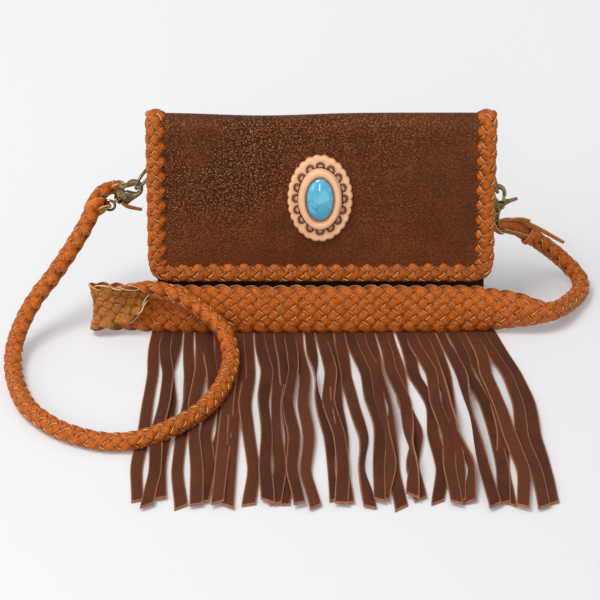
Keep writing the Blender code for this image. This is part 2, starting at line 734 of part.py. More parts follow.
def build_fringe():
    """One piece of suede: a hem on the front panel, cut below into strands."""
    bm = bmesh.new()
    pitch = FRINGE_WIDTH / FRINGE_STRANDS
    edges = []
    for index in range(FRINGE_STRANDS):
        middle = pitch * (index + 0.5 - FRINGE_STRANDS / 2)
        edges += [middle - STRAND_WIDTH / 2, middle + STRAND_WIDTH / 2]
    rows = []
    for z in (HEM_TOP, HEM_BOTTOM):
        near = front_y(z) - GAP
        rows.append([bm.verts.new((x, near - STRAND_THICKNESS, z)) for x in edges])
        rows.append([bm.verts.new((x, near, z)) for x in edges])
    top_front, top_back, low_front, low_back = rows
    for i in range(len(edges) - 1):
        bm.faces.new((top_front[i], top_front[i + 1], low_front[i + 1], low_front[i]))
        bm.faces.new((top_back[i + 1], top_back[i], low_back[i], low_back[i + 1]))
        bm.faces.new((top_back[i], top_back[i + 1], top_front[i + 1], top_front[i]))
        if i % 2:
            bm.faces.new((low_front[i], low_front[i + 1], low_back[i + 1], low_back[i]))
    for i, order in ((0, 1), (len(edges) - 1, -1)):
        bm.faces.new((top_front[i], low_front[i], low_back[i], top_back[i])[::order])
    for index in range(FRINGE_STRANDS):
        left = 2 * index
        ring = [low_front[left], low_front[left + 1], low_back[left + 1], low_back[left]]
        points = strand_path(index)
        for step in range(len(points)):
            following = [bm.verts.new(point) for point in strand_ring(points, step)]
            for i in range(4):
                j = (i + 1) % 4
                bm.faces.new((ring[i], ring[j], following[j], following[i]))
            ring = following
        bm.faces.new(ring)
    return add_object("fringe", bm, suede())


def rivet_place(sign, along, a, b):
    """A point on a tab rivet: along is the distance out from the gusset's outer face."""
    return Vector((sign * (HALF_BODY + along), HARDWARE_Y + a, RIVET_HEIGHT + b))


def rivet_bore(sign):
    side = "left" if sign < 0 else "right"
    reach = 4 * LEATHER
    profile = [(-reach, RIVET_RADIUS + GAP), (reach, RIVET_RADIUS + GAP)]
    bm = turned(profile, lambda along, a, b: rivet_place(sign, along, a, b), 12)
    return add_object("rivet_bore_" + side, bm, brass())


def build_rivet(sign):
    """The rivet through a tab and the gusset, with a head at both ends."""
    inside = -LEATHER - GAP
    outside = 2 * GAP + 2 * TAB_LEATHER
    profile = [
        (inside - RIVET_HEAD, RIVET_HEAD_RADIUS),
        (inside, RIVET_HEAD_RADIUS),
        (inside, RIVET_RADIUS),
        (outside, RIVET_RADIUS),
        (outside, RIVET_HEAD_RADIUS),
        (outside + RIVET_HEAD * 0.4, RIVET_HEAD_RADIUS),
        (outside + RIVET_HEAD, RIVET_HEAD_RADIUS * 0.5),
    ]
    bm = turned(profile, lambda along, a, b: rivet_place(sign, along, a, b), 14)
    return add_object("tab_rivet_left" if sign < 0 else "tab_rivet_right", bm, brass())


def build_tab(sign):
    """The leather tab: doubled over the ring's bar and riveted to the gusset above it."""
    inner = HALF_BODY + GAP
    outer = inner + 2 * TAB_LEATHER
    outline = [
        *arc(RING_BAR_X, RING_BAR_HEIGHT, TAB_RADIUS, 180, 395, 12),
        (outer, RING_BAR_HEIGHT + TAB_BEND),
        (outer, TAB_TOP - TAB_CHAMFER),
        (outer - TAB_CHAMFER, TAB_TOP),
        (inner, TAB_TOP),
    ]
    hole = arc(RING_BAR_X, RING_BAR_HEIGHT, RING_WIRE + GAP, 0, 330, 11)
    widths = (HARDWARE_Y - TAB_WIDTH / 2, HARDWARE_Y + TAB_WIDTH / 2)
    bm = prism([outline, hole], lambda x, z, side: Vector((sign * x, widths[side], z)))
    tab = add_object("ring_tab_left" if sign < 0 else "ring_tab_right", bm, brown_leather())
    combine(tab, bpy.data.objects["rivet_bore_left" if sign < 0 else "rivet_bore_right"], "DIFFERENCE")
    return tab


def ring_bow_radius():
    return RING_WIDTH / 2 - RING_WIRE


def wire_section(centre, across, radius, sides):
    """A round section of a wire that runs flat in the local X and Y."""
    angles = [2 * math.pi * (k + 0.5) / sides for k in range(sides)]
    return [centre + across * (radius * math.cos(t)) + Vector((0, 0, radius * math.sin(t))) for t in angles]


def build_ring(side, axis):
    """A D-shaped ring of round wire. Its bar lies on the axis's Y, and it reaches along the axis's X."""
    bow = ring_bow_radius()
    corner = RING_CORNER
    line = [
        *arc(corner, corner - bow, corner, 180, 270, 3),
        *arc(RING_REACH - bow, 0, bow, -90, 90, 12),
        *arc(corner, bow - corner, corner, 90, 180, 3),
    ]
    rings = []
    for i in range(len(line)):
        here = Vector((*line[i], 0))
        ahead = Vector((*line[(i + 1) % len(line)], 0)) - here
        behind = here - Vector((*line[i - 1], 0))
        along = (ahead.normalized() + behind.normalized()).normalized()
        rings.append(wire_section(here, Vector((along.y, -along.x, 0)), RING_WIRE, 8))
    ring = add_object("d_ring_" + side, loft(rings, closed=True), brass(), 60)
    carry(ring, axis, local=True)
    return ring


def clasp_body_outline():
    """The block, the spine and the hook as seen from the side."""
    outer = HOOK_INNER + HOOK_ROD
    return [
        (BLOCK_END, SLOT_FLOOR),
        (BLOCK_END, -SPINE_INNER),
        (BLOCK_END + SPINE_TAPER, -HOOK_INNER),
        *arc(HOOK_U, 0, HOOK_INNER, -90, 90, 10),
        (NOSE_U, HOOK_INNER),
        (NOSE_U, outer - NOSE_CHAMFER),
        (NOSE_U + NOSE_CHAMFER, outer),
        *arc(HOOK_U, 0, outer, 80, -90, 12),
        (BLOCK_END - BLOCK_CHAMFER, -outer),
        (BLOCK_START + BLOCK_SHOULDER, BLOCK_CHAMFER - BLOCK_SIDE),
        (BLOCK_START + BLOCK_CHAMFER, -COLLAR_RADIUS),
        (BLOCK_START + BLOCK_CHAMFER, SLOT_FLOOR),
    ]


def clasp_block_outline():
    side = [
        (BLOCK_START, COLLAR_RADIUS),
        (BLOCK_START + BLOCK_SHOULDER, BLOCK_SIDE),
        (BLOCK_END - BLOCK_CHAMFER, BLOCK_SIDE),
        (BLOCK_END, BLOCK_SIDE - BLOCK_CHAMFER),
    ]
    return side + [(u, -v) for u, v in side[::-1]]


def slab(outline, low, high):
    """An outline in u and v, from w low to w high."""
    widths = (low, high)
    return prism([outline], lambda u, v, side: Vector((u, v, widths[side])))


def box_outline(u0, u1, v0, v1):
    return [(u0, v0), (u1, v0), (u1, v1), (u0, v1)]


def helper(name, bm, axis):
    obj = add_object(name, bm, brass())
    carry(obj, axis, local=True)
    return obj


def along_u(along, a, b):
    return Vector((along, a, b))


def along_w(along, a, b):
    return Vector((PIVOT_U + a, PIVOT_V + b, along))


def build_clasp_body(side, axis):
    """The clasp's body: the swivel's collar with its window, the lever's forked block, and the hook."""
    body = add_object("clasp_body_" + side, slab(clasp_body_outline(), -HOOK_HALF, HOOK_HALF), brass())
    carry(body, axis, local=True)
    block = slab(clasp_block_outline(), -BLOCK_HALF, BLOCK_HALF)
    combine(body, helper("block_" + side, block, axis), "UNION")
    collar = turned([(0.0, COLLAR_RADIUS), (BLOCK_START + BLOCK_CHAMFER, COLLAR_RADIUS)], along_u)
    combine(body, helper("collar_" + side, collar, axis), "UNION")
    ends = (-CUTTER_OVER, COLLAR_WALL + CUTTER_OVER)
    stem_bore = turned([(end, STEM_RADIUS + GAP) for end in ends], along_u, 12)
    combine(body, helper("stem_bore_" + side, stem_bore, axis), "DIFFERENCE")
    reach = STEM_HEAD_RADIUS + GAP
    through = COLLAR_RADIUS + CUTTER_OVER
    window = slab(box_outline(COLLAR_WALL, COLLAR_WINDOW, -reach, reach), -through, through)
    combine(body, helper("window_" + side, window, axis), "DIFFERENCE")
    slot_start = PIVOT_U - LEVER_HUB - 2 * GAP
    slot_sides = box_outline(slot_start, BLOCK_END + CUTTER_OVER, SLOT_FLOOR, BLOCK_SIDE + CUTTER_OVER)
    slot = slab(slot_sides, -SLOT_HALF, SLOT_HALF)
    combine(body, helper("slot_" + side, slot, axis), "DIFFERENCE")
    ends = (-BLOCK_HALF - CUTTER_OVER, BLOCK_HALF + CUTTER_OVER)
    bore = turned([(end, PIN_RADIUS + GAP) for end in ends], along_w, 12)
    combine(body, helper("pin_bore_" + side, bore, axis), "DIFFERENCE")
    return body


def build_clasp_eye(side, axis):
    """The eye that the strap is tied to, with the stem and head that turn in the collar."""
    rings = []
    for i in range(20):
        angle = 2 * math.pi * i / 20
        outward = Vector((math.cos(angle), math.sin(angle), 0))
        centre = Vector((EYE_U, 0, 0)) + outward * EYE_RADIUS
        rings.append(wire_section(centre, outward, EYE_WIRE, 8))
    eye = add_object("clasp_eye_" + side, loft(rings, closed=True), brass(), 60)
    carry(eye, axis, local=True)
    head = COLLAR_WALL + GAP
    profile = [
        (EYE_U + EYE_RADIUS, STEM_RADIUS),
        (head, STEM_RADIUS),
        (head, STEM_HEAD_RADIUS),
        (head + STEM_HEAD, STEM_HEAD_RADIUS),
    ]
    combine(eye, helper("eye_stem_" + side, turned(profile, along_u, 12), axis), "UNION")
    return eye


def build_clasp_pin(side, axis):
    """The lever's pin, riveted over at both ends."""
    face = BLOCK_HALF + GAP
    profile = [
        (-face - PIN_HEAD, PIN_HEAD_RADIUS),
        (-face, PIN_HEAD_RADIUS),
        (-face, PIN_RADIUS),
        (face, PIN_RADIUS),
        (face, PIN_HEAD_RADIUS),
        (face + PIN_HEAD, PIN_HEAD_RADIUS),
    ]
    pin = add_object("clasp_pin_" + side, turned(profile, along_w, 12), brass())
    carry(pin, axis, local=True)
    return pin


def build_clasp_spring(side, axis):
    """The small coil round the pin, beside the lever."""
    room = SLOT_HALF + LEVER_OUTER - 2 * GAP - 2 * SPRING_WIRE
    start = LEVER_OUTER - GAP - SPRING_WIRE
    count = round(10 * SPRING_TURNS) + 1
    rings = []
    for i in range(count):
        turn = 2 * math.pi * i / 10
        outward = Vector((math.cos(turn), math.sin(turn), 0))
        centre = Vector((PIVOT_U, PIVOT_V, start - room * i / (count - 1))) + outward * SPRING_COIL
        rings.append(wire_section(centre, outward, SPRING_WIRE, 6))
    spring = add_object("clasp_spring_" + side, loft(rings), brass(), 60)
    carry(spring, axis, local=True)
    return spring


def lever_outline():
    """The lever about its pivot: the hub, the gate that closes the hook, and the thumb tab."""
    gate = LEVER_GATE_END - PIVOT_U
    low = HOOK_INNER + GAP - PIVOT_V
    high = low + LEVER_THICKNESS
    return [
        *arc(0, 0, LEVER_HUB, 130, 330, 8),
        (LEVER_NECK, low),
        (gate, low),
        (gate, high),
        *[(u, high + rise) for u, rise in THUMB_TAB],
    ]


def build_clasp_lever(side, axis):
    bore = arc(0, 0, PIN_RADIUS + GAP, 0, 330, 11)
    widths = (LEVER_OUTER, LEVER_INNER)
    bm = prism([lever_outline(), bore], lambda a, b, end: Vector((a, b, widths[end])))
    lever = add_object("clasp_lever_" + side, bm, brass())
    carry(lever, axis, local=True)
    return lever


def clasp_matrix(sign):
    """Where a clasp lies: its hook holds the ring's bow, and it leans towards the bag."""
    lean = CLASP_LEAN_LEFT if sign < 0 else CLASP_LEAN_RIGHT
    bow = ring_matrix(sign) @ Vector((RING_REACH, 0, 0))
    u = Vector((math.cos(lean), 0, math.sin(lean)))
    v = Vector((-math.sin(lean), 0, math.cos(lean)))
    if sign > 0:
        v = Vector((math.sin(lean), 0, -math.cos(lean)))
    w = u.cross(v)
    start = bow - u * HOOK_WIRE_U
    return Matrix.Translation(start) @ Matrix((u, v, w)).transposed().to_4x4()


def ring_matrix(sign):
    """Where a ring hangs: its bar lies in the tab, and it reaches out and down."""
    hang = RING_HANG_LEFT if sign < 0 else RING_HANG_RIGHT
    reach = Vector((sign * math.cos(hang), 0, -math.sin(hang)))
    bar = Vector((0, 1, 0))
    place = Matrix((reach, bar, reach.cross(bar))).transposed().to_4x4()
    return Matrix.Translation((sign * RING_BAR_X, HARDWARE_Y, RING_BAR_HEIGHT)) @ place


def build_hardware(sign):
    """The tab, rivet, ring and clasp at one side."""
    side = "left" if sign < 0 else "right"
    build_tab(sign)
    build_rivet(sign)
    build_ring(side, add_axis("ring_axis_" + side, ring_matrix(sign)))
    place = clasp_matrix(sign)
    swivel = add_axis("swivel_axis_" + side, place)
    build_clasp_body(side, swivel)
    build_clasp_pin(side, swivel)
    build_clasp_spring(side, swivel)
    build_clasp_eye(side, add_axis("eye_place_" + side, place))
    pivot = place @ Matrix.Translation((PIVOT_U, PIVOT_V, 0))
    build_clasp_lever(side, add_axis("lever_axis_" + side, pivot))


def between(p, q, r, s, t):
    """A value on a smooth curve through four others, at the share t from the second to the third."""
    return 0.5 * (2 * q + (r - p) * t + (2 * p - 5 * q + 4 * r - s) * t * t + (3 * q - p - 3 * r + s) * t**3)


def smooth_route(points, step):
    """Points at even steps on a smooth curve through the given points, which may hold more than a place."""
    fine = []
    for i in range(len(points) - 1):
        a, b, c, d = (points[min(max(i + k, 0), len(points) - 1)] for k in (-1, 0, 1, 2))
        for k in range(12):
            fine.append([between(p, q, r, s, k / 12) for p, q, r, s in zip(a, b, c, d)])
    fine.append(list(points[-1]))
    lengths = [0.0]
    for before, after in zip(fine, fine[1:]):
        lengths.append(lengths[-1] + (Vector(after[:3]) - Vector(before[:3])).length)
    count = round(lengths[-1] / step)
    chosen = []
    row = 0
    for k in range(count + 1):
        target = lengths[-1] * k / count
        while row < len(lengths) - 2 and lengths[row + 1] < target:
            row += 1
        share = (target - lengths[row]) / (lengths[row + 1] - lengths[row])
        chosen.append([p + (q - p) * share for p, q in zip(fine[row], fine[row + 1])])
    return chosen


def build_strap():
    """The strap: a round braid at both ends and a flat one, which stands on its edge, along the front."""
    route = [[value / 1000 for value in point[:5]] + [point[5]] for point in STRAP_ROUTE]
    points = smooth_route(route, STRAP_STEP)
    rings = []
    for i in range(len(points)):
        centre = Vector(points[i][:3])
        before = Vector(points[max(i - 1, 0)][:3])
        after = Vector(points[min(i + 1, len(points) - 1)][:3])
        along = (after - before).normalized()
        high, thick, lean = points[i][3:]
        up = Vector((0, lean, 1))
        up = (up - along * up.dot(along)).normalized()
        across = along.cross(up)
        angles = [2 * math.pi * (k + 0.5) / STRAP_SIDES for k in range(STRAP_SIDES)]
        rings.append([centre + up * (high * math.cos(t)) + across * (thick * math.sin(t)) for t in angles])
    strap = add_object("braided_strap", loft(rings), tan_lace(), 60)
    for index, tail in enumerate(TAILS):
        points = smooth_route([[value / 1000 for value in point] for point in tail], 0.004)
        combine(strap, round_tube(f"strap_tail_{index + 1}", points, TAIL_RADIUS), "UNION")
    return strap


def round_tube(name, points, radius):
    """A round tube along the points, as a curve with filled ends, turned into a mesh."""
    curve = bpy.data.curves.new(name, "CURVE")
    curve.dimensions = "3D"
    spline = curve.splines.new("POLY")
    spline.points.add(len(points) - 1)
    for target, point in zip(spline.points, points):
        target.co = (*point[:3], 1)
    curve.bevel_depth = radius
    curve.bevel_resolution = 1
    curve.use_fill_caps = True
    holder = bpy.data.objects.new(name + "_line", curve)
    mesh = bpy.data.meshes.new_from_object(holder)
    bm = bmesh.new()
    bm.from_mesh(mesh)
    bpy.data.objects.remove(holder)
    return add_object(name, bm, tan_lace(), 60)


def build_body():
    build_gusset()
    build_front_panel()
    build_back_panel()
    build_back_lace(-1)
    build_back_lace(1)
    build_fringe()
    build_snap_socket()


def build_flap_pieces():
    """Everything that turns with the flap, on the empty at its hinge."""
    pieces = [
        build_flap(),
        build_flap_lace(),
        build_concho_base(),
        build_concho_ring(),
        build_stone(),
        build_concho_screw(),
        build_snap_stud(),
    ]
    hinge = add_axis("flap_hinge", Matrix.Translation(HINGE_POINT))
    for piece in pieces:
        carry(piece, hinge)


def main():
    for obj in list(bpy.data.objects):
        bpy.data.objects.remove(obj)
    build_body()
    build_flap_pieces()
    build_hardware(-1)
    build_hardware(1)
    build_strap()


main()
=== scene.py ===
"""Looks of a fringed leather bag with laced edges, an oval concho and a braided clip-on strap.

Metres, +Z up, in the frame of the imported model. The front faces -Y.
"""

import math
import random

import bpy
import numpy as np
from bpy.props import FloatProperty, FloatVectorProperty, IntProperty, PointerProperty
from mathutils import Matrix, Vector


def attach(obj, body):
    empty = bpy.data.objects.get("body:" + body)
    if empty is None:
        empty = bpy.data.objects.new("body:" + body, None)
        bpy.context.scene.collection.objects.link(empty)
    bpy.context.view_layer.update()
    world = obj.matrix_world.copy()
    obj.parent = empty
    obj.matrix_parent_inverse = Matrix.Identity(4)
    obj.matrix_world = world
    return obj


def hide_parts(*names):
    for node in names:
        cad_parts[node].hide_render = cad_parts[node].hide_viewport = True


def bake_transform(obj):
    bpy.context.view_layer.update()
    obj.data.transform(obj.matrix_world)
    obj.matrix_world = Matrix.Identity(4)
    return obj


bl_info = {
    "name": "Fringed Bag",
    "version": (1, 0, 0),
    "blender": (4, 5, 0),
    "location": "View3D > Sidebar > Fringed Bag",
    "description": "Makes the leather, braids, fringe, concho and fittings of a fringed bag",
    "category": "Object",
}

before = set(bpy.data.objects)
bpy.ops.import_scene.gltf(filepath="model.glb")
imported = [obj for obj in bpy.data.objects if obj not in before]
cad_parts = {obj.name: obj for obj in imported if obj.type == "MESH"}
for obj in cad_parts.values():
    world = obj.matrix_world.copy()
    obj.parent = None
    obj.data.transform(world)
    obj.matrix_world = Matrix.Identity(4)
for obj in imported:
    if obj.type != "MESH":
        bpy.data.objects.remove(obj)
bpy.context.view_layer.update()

# The body, and the leather's line from the foot of the back, over the top and down the flap
BASE_DEPTH = 0.052
BODY_HALF = 0.1287
BODY_CORNER = 0.0150
LEATHER = 0.0022
HINGE_Y = 0.011
HINGE_Z = 0.1564
FOLD_MIDDLE = 0.0099
FRONT_TOP = 0.150
MOUTH_Y = -0.0065
FLAP_BOTTOM = 0.035
FRONT_SLOPE = (BASE_DEPTH / 2 + MOUTH_Y) / FRONT_TOP
BACK_LEAN = math.atan((BASE_DEPTH / 2 - HINGE_Y) / HINGE_Z)
FLAP_LEAN = math.atan(FRONT_SLOPE) + math.radians(1.1)
FOLD_ANGLE = math.pi - FLAP_LEAN
FOLD_LENGTH = FOLD_MIDDLE * FOLD_ANGLE
FOLD_Y = HINGE_Y - 0.011
FLAP_LENGTH = FOLD_LENGTH + (HINGE_Z + FOLD_MIDDLE * math.sin(FOLD_ANGLE) - FLAP_BOTTOM) / math.cos(FLAP_LEAN)
BACK_LENGTH = HINGE_Z / math.cos(BACK_LEAN)

# The leather ends on the lace's middle line
LACE_INSET = 0.007

# The concho on the flap: its middle's height, and half sizes across and up
CONCHO_Z = 0.1036
CONCHO_HALF = (0.0254, 0.0356)
RING_HALF = (0.0164, 0.0246)
RING_BAND = (0.0056, 0.0056 + 0.0013)

# Where each clasp starts, how it leans in degrees and its side, how far each ring hangs, and the right ring's bar
CLASPS = {
    "left": ((-0.160195, 0.001, 0.0915748), 38.0, -1),
    "right": ((0.1368982, 0.001, 0.0807523), 85.0, 1),
}
RINGS = {"left": 51.0, "right": 72.0}
RING_BAR = (0.1324, 0.001, 0.119)

# The rivet's head in millimetres, from its foot to its crown: height, radius and how dark it is
RIVET_HEAD = (
    (1.8, 2.5, 0), (2.55, 2.5, 0), (2.75, 2.3, 0), (2.72, 2.1, 0.6), (2.45, 1.95, 1), (2.42, 1.35, 1),
    (2.7, 1.2, 0.4), (3.05, 1.0, 0), (3.3, 0.65, 0), (3.42, 0.25, 0), (3.44, 0.02, 0),
)

# The strap's middle line in millimetres: x, y, z, half its height and its lean back
STRAP_ROUTE = (
    (-157, 13, 97, 3.8, 0.0), (-163, 11.3, 97.4, 4.4, 0.0), (-170, 7, 96.6, 5.0, 0.0),
    (-176.3, 0.3, 92.9, 5.1, 0.0), (-179.5, -5.5, 84.6, 5.9, 0.0), (-184.5, -14, 76, 6.5, 0.0),
    (-196, -30.5, 62.5, 6.5, 0.0), (-208.5, -43, 48, 6.5, 0.0), (-222.5, -56, 33.5, 6.5, 0.0),
    (-233, -75, 19, 6.5, 0.0), (-236.5, -101, 10, 6.5, 0.0), (-232, -133, 6.8, 6.5, 0.0),
    (-220, -169, 6.8, 6.5, 0.0), (-200, -195, 6.8, 6.5, 0.0), (-178.5, -210, 6.8, 6.5, 0.0),
    (-155, -217.5, 6.9, 6.5, 0.0), (-132, -215, 8.2, 6.5, 0.0), (-111, -202, 9.4, 6.5, 0.0),
    (-91, -180, 9.4, 6.5, 0.0), (-77, -150, 9.4, 6.5, 0.0), (-70, -115, 9.6, 6.5, 0.0),
    (-71.2, -93, 13.6, 6.5, 0.0), (-76, -80, 18.8, 6.5, 0.0), (-84.5, -68.5, 23.4, 6.5, 0.0),
    (-95, -59.5, 28, 6.5, 0.0), (-108.5, -54, 34.2, 6.5, 0.0), (-121.5, -52, 39, 6.5, 0.0),
    (-132, -51.5, 40, 7.0, 0.0), (-141, -51.5, 38, 9.5, 0.0), (-149.5, -52, 33.4, 14, 0.0),
    (-158, -52.5, 29.2, 17.5, 0.0), (-166.5, -52.8, 27, 18, 0.05), (-173.5, -51.6, 25, 18, 0.12),
    (-177.8, -48, 23, 18, 0.2), (-176, -43.8, 21.5, 18, 0.27), (-168, -42.4, 20.5, 18, 0.3),
    (-154, -43.4, 20.3, 18, 0.3), (-136, -45.4, 20.3, 18, 0.3), (-95, -47, 20.3, 18, 0.3),
    (-40, -47.8, 20.3, 18, 0.3), (15, -47.6, 20.3, 18, 0.3), (70, -47.2, 20.3, 18, 0.3),
    (115, -47, 20, 17.5, 0.3), (146, -48.4, 19, 15, 0.2), (165, -48.4, 17.5, 11, 0.1),
    (179, -43.5, 15.5, 7.6, 0.0), (190, -31, 12.5, 6.5, 0.0), (197.5, -18, 10, 6.5, 0.0),
    (205, -4, 8, 6.5, 0.0), (209, 9, 7.2, 6.5, 0.0), (209, 21, 8.3, 6.5, 0.0),
    (204, 30, 12, 6.5, 0.0), (195.5, 35, 19, 6.5, 0.0), (186, 36.5, 27, 6.5, 0.0),
    (176.5, 35.5, 35, 6.5, 0.0), (167, 32, 44, 6.5, 0.0), (157, 26, 53, 6.5, 0.0),
    (149, 17.8, 60, 6.2, 0.0), (142.2, 8.8, 64.2, 5.2, 0.0), (139, 3.5, 65.3, 3.6, 0.0),
)
STRAP_STRANDS = 8
STRAP_WALL = 0.0015

# Single thongs at the clasps, in millimetres: long loose ends, loops through the eyes, and short loose ends
TAILS = (
    ((-160, 12.2, 97.3), (-154, 13.4, 98), (-149, 13.8, 99), (-144.8, 14, 101)),
    ((-163, 11.3, 96), (-160, 13, 88), (-154, 14, 80), (-147, 14.5, 77.3), (-141.5, 14.5, 76.2)),
    ((141.8, 8.3, 64), (139.6, 9.5, 73), (142.5, 9.5, 81.5), (148.5, 9.5, 86.2), (155.2, 9.5, 88.8)),
    ((149, 17.8, 60.5), (154, 21, 62), (162, 25, 59.5), (176, 29, 50.5), (187, 29.5, 43.5), (196, 29, 38.3)),
)
EYE_LOOPS = (
    ((-180, -8.5, 84), (-174.5, -7, 87), (-169, -4.5, 88.5), (-166.3, 0.6, 87.4), (-168.5, 5.5, 88.5), (-174, 5, 92)),
    ((-180, -7, 80), (-175, -6.5, 83), (-169.5, -4, 85.5), (-166.6, 1.4, 85.8), (-169.5, 6.0, 85.8), (-176, 4, 88)),
    ((144, 4, 60), (140, -2, 65), (137, -3.5, 70), (136.2, 1, 73.2), (138, 5.5, 70), (143, 9, 65)),
)
LOOSE_THONGS = (
    ((146, 13, 63), (152, 17, 65), (160, 19.5, 64.5), (167, 20, 62.5)),
    ((-163, 7, 99.5), (-158, 7.5, 101.2), (-153.5, 8.5, 101.5), (-150, 10, 101)),
    ((143, 8, 62), (148, 11, 58.5), (156, 18, 52.5), (166, 25, 46)),
)
TAIL_THICKNESS = 0.0013
LACE_THICKNESS = 0.0015

# A thong's section: across it from -1 to 1, and its height from -0.5 to 0.5, with its cut edges and its back
ACROSS = np.array((-1.0, -0.88, -0.50, 0.0, 0.50, 0.88, 1.0, 1.0, 0.90, 0.0, -0.90, -1.0))
HEIGHT = np.array((0.30, 0.46, 0.58, 0.63, 0.58, 0.46, 0.30, -0.34, -0.48, -0.50, -0.48, -0.34))
CUT_EDGES = (np.abs(ACROSS) > 0.95).astype(float)
BACK_FACE = (HEIGHT < -0.4).astype(float)

FRINGE_THICKNESS = 0.0015

CAMERA_TARGET = Vector((-0.0164, 0, 0.0016))
CAMERA_RISE = math.radians(30)
CAMERA_DISTANCE = 2.2
CAMERA_LENS = 164.6
LAMP_TARGET = Vector((0, -0.05, 0.05))
LAMPS = (
    ("top_lamp", (-0.8, -0.7, 2.1), (1.0, 1.0), 28.0),
    ("side_lamp", (-2.0, -1.5, 1.2), (0.9, 1.4), 10.0),
    ("window", (-0.14, -2.5, 1.2), (0.36, 1.2), 11.0),
)


def length(name, text, size):
    return FloatProperty(name=name, description=text, default=size, unit="LENGTH")


def colour(name, text, value):
    return FloatVectorProperty(name=name, description=text, default=value, subtype="COLOR")


class BagSizes(bpy.types.PropertyGroup):
    thong_width: length("Thong width", "Width of the strap's thongs", 0.0072)
    thong_thickness: length("Thong thickness", "Thickness of the thongs", 0.0017)
    strap_width: length("Strap width", "Width of the strap where it is flat", 0.0392)
    strap_period: length("Strap period", "Length in which a thong crosses the strap and comes back", 0.0936)
    lobe: length("Lobe length", "Length of one lobe of the laced edge", 0.012)
    lace_width: length("Lace width", "Width of the thongs of the laced edge", 0.0066)
    fringe_strands: IntProperty(name="Fringe strands", description="Number of strands in the fringe", default=34)
    strand_width: length("Strand width", "Width of a fringe strand", 0.0091)


class BagColours(bpy.types.PropertyGroup):
    leather: colour("Leather", "Colour of the pebbled leather", (0.142, 0.0325, 0.0066))
    thong: colour("Thong", "Colour of the braids", (0.54, 0.104, 0.0055))
    cut_edge: colour("Cut edge", "Colour of the thongs' cut edges", (0.88, 0.56, 0.28))
    suede: colour("Suede", "Colour of the fringe", (0.092, 0.0245, 0.0088))
    concho: colour("Concho", "Colour of the tooled leather", (1.0, 0.56, 0.31))
    turquoise: colour("Turquoise", "Colour of the stone", (0.10, 0.50, 0.72))
    brass: colour("Brass", "Colour of the antique brass", (0.27, 0.205, 0.095))


def sizes():
    return bpy.context.scene.bag_sizes


def colours():
    return bpy.context.scene.bag_colours


# Materials


class Look:
    """A material with short calls for its nodes, and a tone that is painted over step by step."""

    def __init__(self, name, tone):
        self.material = bpy.data.materials.new(name)
        self.material.use_nodes = True
        self.tree = self.material.node_tree
        self.shader = self.tree.nodes["Principled BSDF"]
        self.where = self.place("Object", (1, 1, 1))
        self.tone = tone

    def fill(self, socket, value):
        if isinstance(value, bpy.types.NodeSocket):
            self.tree.links.new(value, socket)
        else:
            socket.default_value = (*value, 1) if socket.type == "RGBA" else value

    def add(self, kind, sockets, **settings):
        made = self.tree.nodes.new("ShaderNode" + kind)
        for name, value in settings.items():
            setattr(made, name, value)
        for name, value in sockets.items():
            self.fill(made.inputs[name], value)
        return made

    def finish(self, sockets):
        """The painted tone and these inputs go to the shader."""
        for name, value in {"Base Color": self.tone, **sockets}.items():
            self.fill(self.shader.inputs[name], value)
        return self.material

    def place(self, source, scale):
        kind = self.add("TexCoord", {}).outputs[source]
        return self.add("Mapping", {"Vector": kind, "Scale": scale}).outputs["Vector"]

    def noise(self, scale, detail=3.0, roughness=0.55, distortion=0.0, where=None):
        sockets = {"Scale": scale, "Detail": detail, "Roughness": roughness, "Distortion": distortion}
        return self.add("TexNoise", {"Vector": where or self.where, **sockets}).outputs["Fac"]

    def attribute(self, name):
        return self.add("Attribute", {}, attribute_name=name).outputs["Fac"]

    def math(self, operation, a, b):
        return self.add("Math", {0: a, 1: b}, operation=operation).outputs["Value"]

    def times(self, a, b):
        return self.math("MULTIPLY", a, b)

    def curve(self, value, low, high, to_low=0.0, to_high=1.0):
        sockets = {"Value": value, "From Min": low, "From Max": high, "To Min": to_low, "To Max": to_high}
        return self.add("MapRange", sockets, interpolation_type="SMOOTHSTEP").outputs["Result"]

    def mix(self, factor, a, b):
        return self.add("Mix", {0: factor, 6: a, 7: b}, data_type="RGBA").outputs[2]

    def paint(self, factor, tone):
        self.tone = self.mix(factor, self.tone, tone)

    def bump(self, height, distance, strength, under=None):
        sockets = {"Height": height, "Distance": distance, "Strength": strength}
        if under is not None:
            sockets["Normal"] = under
        return self.add("Bump", sockets).outputs["Normal"]


def shade(tone, share):
    """The tone made darker, or lighter where the share is above 1."""
    return tuple(min(1.0, value * share) for value in tone)


